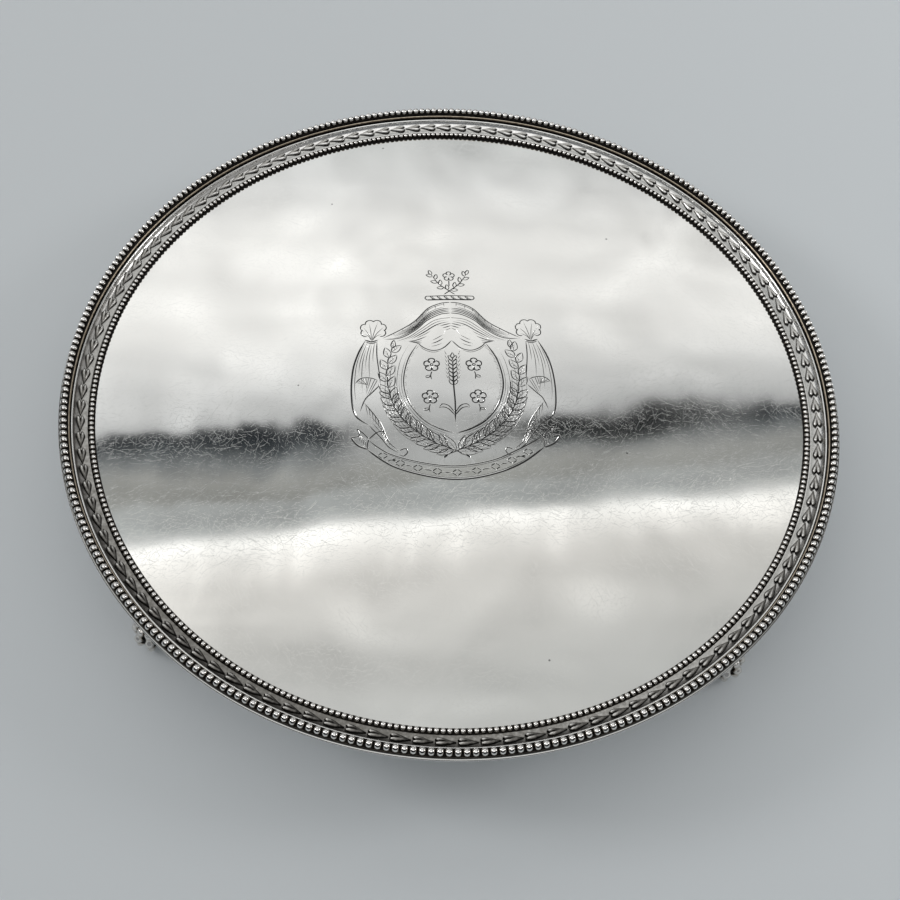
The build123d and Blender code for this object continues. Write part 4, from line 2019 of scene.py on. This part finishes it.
@dataclass
class Studio:
    """A pale floor under a large soft ceiling, with a dark gap that the plate mirrors.

    Args:
        floor_colour: Colour of the floor.
        floor_shade: How bright the floor's left side is painted, as a share of the right: painted shade.
        backdrop_colour: Colour that the camera sees where the floor is far away, and beyond it.
        room_colour: Colour of the room that the metal mirrors past the cards.
        veil_colour: Colour of the pale veil over the ceiling's gap.
        ceiling_height: Height of the ceiling over the floor, in metres.
        cards_height: Height of the cards under the ceiling, in metres.
        dark_line: Where the gap begins on the ceiling at x = 0, and its slope.
        pale_line: Where the gap ends on the ceiling at x = 0, and its slope.
        near_front: Where the near card ends, in metres along y.
        near_fade: Over what distance the near card comes up to its full glow.
        strip_steps: Steps round the dark strip in front of the salver.
        strip_edges: Radius and height of the dark strip's edges, in metres.
        camera_place: Where the camera is, in metres.
        camera_pitch: How far it is raised from looking straight down, in degrees.
        camera_yaw: How far it is turned about the upright, in degrees.
        camera_roll: How far it is turned about its own axis, in degrees.
        lens: Focal length, in millimetres.
        lamp_size: Diameter of the two lamps, in metres.
    """

    floor_colour: Colour = (0.80, 0.835, 0.865, 1.0)
    floor_shade: float = 0.774
    backdrop_colour: Colour = (0.47, 0.50, 0.52, 1.0)
    room_colour: Colour = (0.20, 0.21, 0.22, 1.0)
    veil_colour: Colour = (0.47, 0.48, 0.48, 1.0)
    ceiling_height: float = 1.527
    cards_height: float = 1.5
    dark_line: Point2 = (0.9527, 0.136)
    pale_line: Point2 = (0.6934, 0.163)
    near_front: float = 0.14
    near_fade: float = 0.25
    strip_steps: int = 48
    strip_edges: tuple[Point2, Point2] = ((0.168, 0.040), (0.176, 0.078))
    camera_place: Point3 = (-0.00452, -0.22526, 0.3445)
    camera_pitch: float = 31.1
    camera_yaw: float = -1.36
    camera_roll: float = 4.35
    lens: float = 38.5
    lamp_size: float = 0.4

    def build(self) -> None:
        """Build the floor, the lights, the world and the camera."""
        bpy.context.scene.view_settings.view_transform = "Standard"
        self._floor()
        self._ceiling()
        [card.build(self.near_front, self.near_fade) for card in self._cards()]
        self._lamp("lamp_left", (-1.3, 0.2, 0.75), 4.0)
        self._lamp("lamp_right", (1.35, 0.3, 0.75), 3.0)
        self._world()
        self._camera()
        log.info("studio: floor, ceiling, cards, lamps, world and camera")

    def _floor(self) -> bpy.types.Object:
        """A wide pale floor that turns into the backdrop far away.

        Returns:
            The floor.
        """
        mesh = new_mesh("floor", [(-15, -15, 0), (15, -15, 0), (15, 15, 0), (-15, 15, 0)], [(0, 1, 2, 3)])
        material = bpy.data.materials.new("floor_paper")
        material.use_nodes = True
        nodes = Nodes(material.node_tree)
        place = nodes.place()
        x, _y, _z = nodes.split(place)
        # Painted shade: the floor's colour darkens towards the left.
        darker = (*(value * self.floor_shade for value in self.floor_colour[:3]), 1.0)
        paper = nodes.tree.nodes["Principled BSDF"]
        paper.inputs["Roughness"].default_value = 0.9
        colour = nodes.mix_colour((x * 1.3 + 0.42).clamped(), darker, self.floor_colour)
        nodes.feed(colour, paper.inputs["Base Color"])
        away = nodes.value("ShaderNodeVectorMath", {0: place}, "Value", operation="LENGTH")
        distant = ((away - 0.8) / 2.2).clamped()
        backdrop = nodes.emission(self.backdrop_colour)
        surface = nodes.mix_shader(distant * nodes.is_seen(), paper.outputs[0], backdrop)
        nodes.feed(surface, nodes.tree.nodes["Material Output"].inputs["Surface"])
        mesh.materials.append(material)
        floor = link("floor", mesh)
        floor.location.z = -0.0002
        return floor

    def _ceiling(self) -> bpy.types.Object:
        """The glowing ceiling: a cloudy far half, a dark gap and a warm near half.

        Returns:
            The ceiling.
        """
        mesh = new_mesh("ceiling", [(-3, -1.6, 0), (3, -1.6, 0), (3, 5.5, 0), (-3, 5.5, 0)], [(3, 2, 1, 0)])
        material, nodes = new_material("ceiling_glow")
        place = nodes.place()
        x, y, _z = nodes.split(place)
        lines = (self.dark_line, self.pale_line)
        past_dark, past_pale = (y - (x * slope + start) for start, slope in lines)
        share = past_pale / (past_pale - past_dark)
        reach = nodes.math("MINIMUM", (share * 0.52).clamped() + 0.22, 0.74)
        share = share + (nodes.noise(place, 5.5, 9.0, Roughness=0.62) - 0.5) * reach
        glow = nodes.emission(self._ceiling_colour(nodes, x, share), self._mist(nodes, place, x, share))
        nodes.add("ShaderNodeOutputMaterial", {"Surface": glow})
        mesh.materials.append(material)
        ceiling = link("ceiling", mesh)
        ceiling.location.z = self.ceiling_height
        ceiling.visible_camera = False
        return ceiling

    def _ceiling_colour(self, nodes: Nodes, x: Value, share: Value) -> Value:
        """Bands of tone over the ceiling, with a pale veil where the gap begins.

        Args:
            nodes: Helper of the ceiling's tree.
            x: Distance across the ceiling.
            share: Way across the gap, from 0 at its near side to 1 at its far side.

        Returns:
            The colour.
        """
        ramp = nodes.add("ShaderNodeValToRGB", {0: (share * 0.15 + 0.3).clamped()})
        stops = ramp.color_ramp.elements
        while len(stops) < len(CEILING_TONES):
            stops.new(0.5)
        for stop, (spot, colour) in zip(stops, CEILING_TONES):
            stop.position = spot
            stop.color = (*colour, 1.0)
        middle = (1.0 - (x / 0.25) ** 2.0).clamped()
        strip = ((1.0 - abs(share - 0.86) / 0.34) * 2.5).clamped()
        veil = strip * (middle * 2.0).clamped() * 0.8
        return nodes.mix_colour(veil, ramp.outputs[0], self.veil_colour)

    def _mist(self, nodes: Nodes, place: Value, x: Value, share: Value) -> Value:
        """Strength of the ceiling's glow: clouds, lit panes, streaks and a dark pool.

        Args:
            nodes: Helper of the ceiling's tree.
            place: Where a point of the ceiling is.
            x: Distance across the ceiling.
            share: Way across the gap, from 0 at its near side to 1 at its far side.

        Returns:
            The strength.
        """
        upright, level = (
            nodes.value("ShaderNodeMapping", {"Vector": place, "Scale": scale})
            for scale in ((13.0, 1.6, 1.0), (1.3, 15.0, 1.0))
        )
        cloud = nodes.noise(place, 2.4, 6.0, Distortion=2.0) + 0.51
        panes = ((nodes.noise(upright, 1.0, 1.0) - 0.5) * 6.0).clamped()
        window = (1.0 - abs(share + 0.26) / 0.28).clamped()
        streaks = nodes.noise(level, 1.0, 4.0, Distortion=0.6) * 0.5 + 0.75
        pool = 1.0 - (((x - 0.4) / 0.36) ** 2.0 + ((share - 0.86) / 0.2) ** 2.0)
        pool = (pool * 1.5).clamped()
        return (cloud + window * panes * 0.5) * streaks * (1.0 - x * 0.1) * (1.0 - pool * 0.8)

    def _cards(self) -> list[Card]:
        """Plan the cards: the room's sides, the near ceiling and a dark strip.

        Returns:
            The planned cards.
        """

        def level(left: float, right: float, near: float, far: float) -> list[Point3]:
            """Corners of a card under the ceiling."""
            high = self.cards_height
            return [(left, near, high), (right, near, high), (right, far, high), (left, far, high)]

        strip = []
        for step in range(self.strip_steps + 1):
            turn = math.pi * (1 + step / self.strip_steps)
            strip += [(*polar(AXIS, radius, turn), height) for radius, height in self.strip_edges]
        faces = [(low, low + 2, low + 3, low + 1) for low in range(0, 2 * self.strip_steps, 2)]
        wall = ((1.7, -1.6, 0.1), (1.7, 3.5, 0.1), (1.7, 3.5, 1.45), (1.7, -1.6, 1.45))
        back = ((-3.0, 3.5, 0.1), (1.7, 3.5, 0.1), (1.7, 3.5, 1.45), (-3.0, 3.5, 1.45))
        return [
            Card("card_side", level(1.0, 3.0, -1.6, 5.5), 0.13),
            Card("card_far", level(-3.0, 1.0, 1.98, 5.5), 0.85),
            Card("card_wall", wall, 0.34),
            Card("card_near", level(-1.0, 1.0, -1.6, self.near_front), 0.56, front_glow=0.59),
            Card("card_back", back, 0.14),
            Card("card_strip", strip, 0.006, faces, nearer_than=0.07),
        ]

    def _lamp(self, name: str, place: Point3, power: float) -> bpy.types.Object:
        """A soft round lamp that gives the mouldings their bright edges.

        Args:
            name: Its name.
            place: Where it is, in metres.
            power: Its power, in watts.

        Returns:
            The lamp.
        """
        light = bpy.data.lights.new(name, "AREA")
        light.shape = "DISK"
        light.size = self.lamp_size
        light.energy = power
        lamp = bpy.data.objects.new(name, light)
        lamp.location = place
        lamp.rotation_euler = (-Vector(place)).to_track_quat("-Z", "Y").to_euler()
        lamp.visible_camera = False
        bpy.context.scene.collection.objects.link(lamp)
        return lamp

    def _world(self) -> None:
        """A pale room for the camera and a dimmer one for reflections."""
        world = bpy.data.worlds.new("room")
        world.use_nodes = True
        world.node_tree.nodes.clear()
        nodes = Nodes(world.node_tree)
        mirrored, seen = (
            nodes.value("ShaderNodeBackground", {"Color": colour})
            for colour in (self.room_colour, self.backdrop_colour)
        )
        room = nodes.mix_shader(nodes.is_seen(), mirrored, seen)
        nodes.add("ShaderNodeOutputWorld", {"Surface": room})
        bpy.context.scene.world = world

    def _camera(self) -> None:
        """The camera, over the salver and a little to its front."""
        data = bpy.data.cameras.new("camera")
        data.lens = self.lens
        data.sensor_width = 36.0
        data.clip_start = 0.01
        camera = bpy.data.objects.new("camera", data)
        turn = Matrix.Rotation(math.radians(self.camera_yaw), 4, "Z")
        turn = turn @ Matrix.Rotation(math.radians(self.camera_pitch), 4, "X")
        turn = turn @ Matrix.Rotation(math.radians(self.camera_roll), 4, "Z")
        camera.matrix_world = Matrix.Translation(self.camera_place) @ turn
        bpy.context.scene.collection.objects.link(camera)
        bpy.context.scene.camera = camera


# --- The whole salver ------------------------------------------------------------------------


def finishes() -> dict[str, bpy.types.Material]:
    """Make the five silver finishes from the shared shader groups.

    Returns:
        The materials by name.
    """
    groups = {"tarnish": tarnish_and_shade_group(), "haze": haze_group(), "scratches": scratch_group()}
    made = (
        SilverFinish(
            "planished_silver",
            warm=(0.28, 0.28, 0.27, 1.0),
            dark=(0.045, 0.046, 0.046, 1.0),
            roughness=0.04,
            haze_roughness=0.035,
            dark_roughness=0.35,
            unevenness=0.0,
            scratch_roughness=0.12,
            scratch_width=4.5e-5,
            scratch_cover=0.66,
            ripple_height=3.8e-4,
            ripple_scale=13.0,
            speck_dark=0.6,
            grain_height=7.0e-7,
        ),
        SilverFinish(
            "beaded_silver",
            # Painted shade: the beads' bright colour is a little dimmer than the plate's.
            bright=(0.86, 0.85, 0.83, 1.0),
            roughness=0.08,
            unevenness=0.25,
        ),
        SilverFinish(
            "cast_border_silver",
            warm=(0.37, 0.355, 0.33, 1.0),
            roughness=0.13,
            scratch_cover=0.4,
            ripple_height=1.0e-5,
        ),
        SilverFinish(
            "cast_foot_silver",
            # Painted shade: the feet's bright colour is dimmer than the plate's, as they stand in shade under
            # the rim.
            bright=(0.74, 0.72, 0.69, 1.0),
            roughness=0.13,
            scratch_cover=0.4,
            ripple_height=1.0e-5,
        ),
        SilverFinish(
            "drawn_wire_silver",
            bright=(0.78, 0.70, 0.58, 1.0),
            warm=(0.34, 0.27, 0.19, 1.0),
            roughness=0.22,
            unevenness=0.5,
        ),
    )
    return {finish.name: finish.material(groups) for finish in made}


def main() -> None:
    """Build the salver and its studio."""
    logging.basicConfig(level=logging.INFO, format="%(name)s: %(message)s", stream=sys.stdout)
    silver = finishes()
    rows = row_tree()
    SalverPlate(Cartouche(), silver["planished_silver"]).build()
    BeadWire(
        prefix="inner_bead_wire",
        lengths=2,
        count=203,
        bead_radius=1.03,
        strip_height=0.65,
        dark_below=0.5,
        finish=silver["beaded_silver"],
        tree=rows,
    ).build()
    HuskBorder(husk=Husk(), finish=silver["cast_border_silver"], tree=rows).build()
    StepWire(silver["drawn_wire_silver"]).build()
    BeadWire(
        prefix="outer_bead_wire",
        lengths=4,
        count=83,
        bead_radius=1.37,
        strip_height=1.15,
        finish=silver["beaded_silver"],
        tree=rows,
    ).build()
    ClawFoot(silver["cast_foot_silver"]).build()
    Studio().build()


if __name__ == "__main__":
    main()
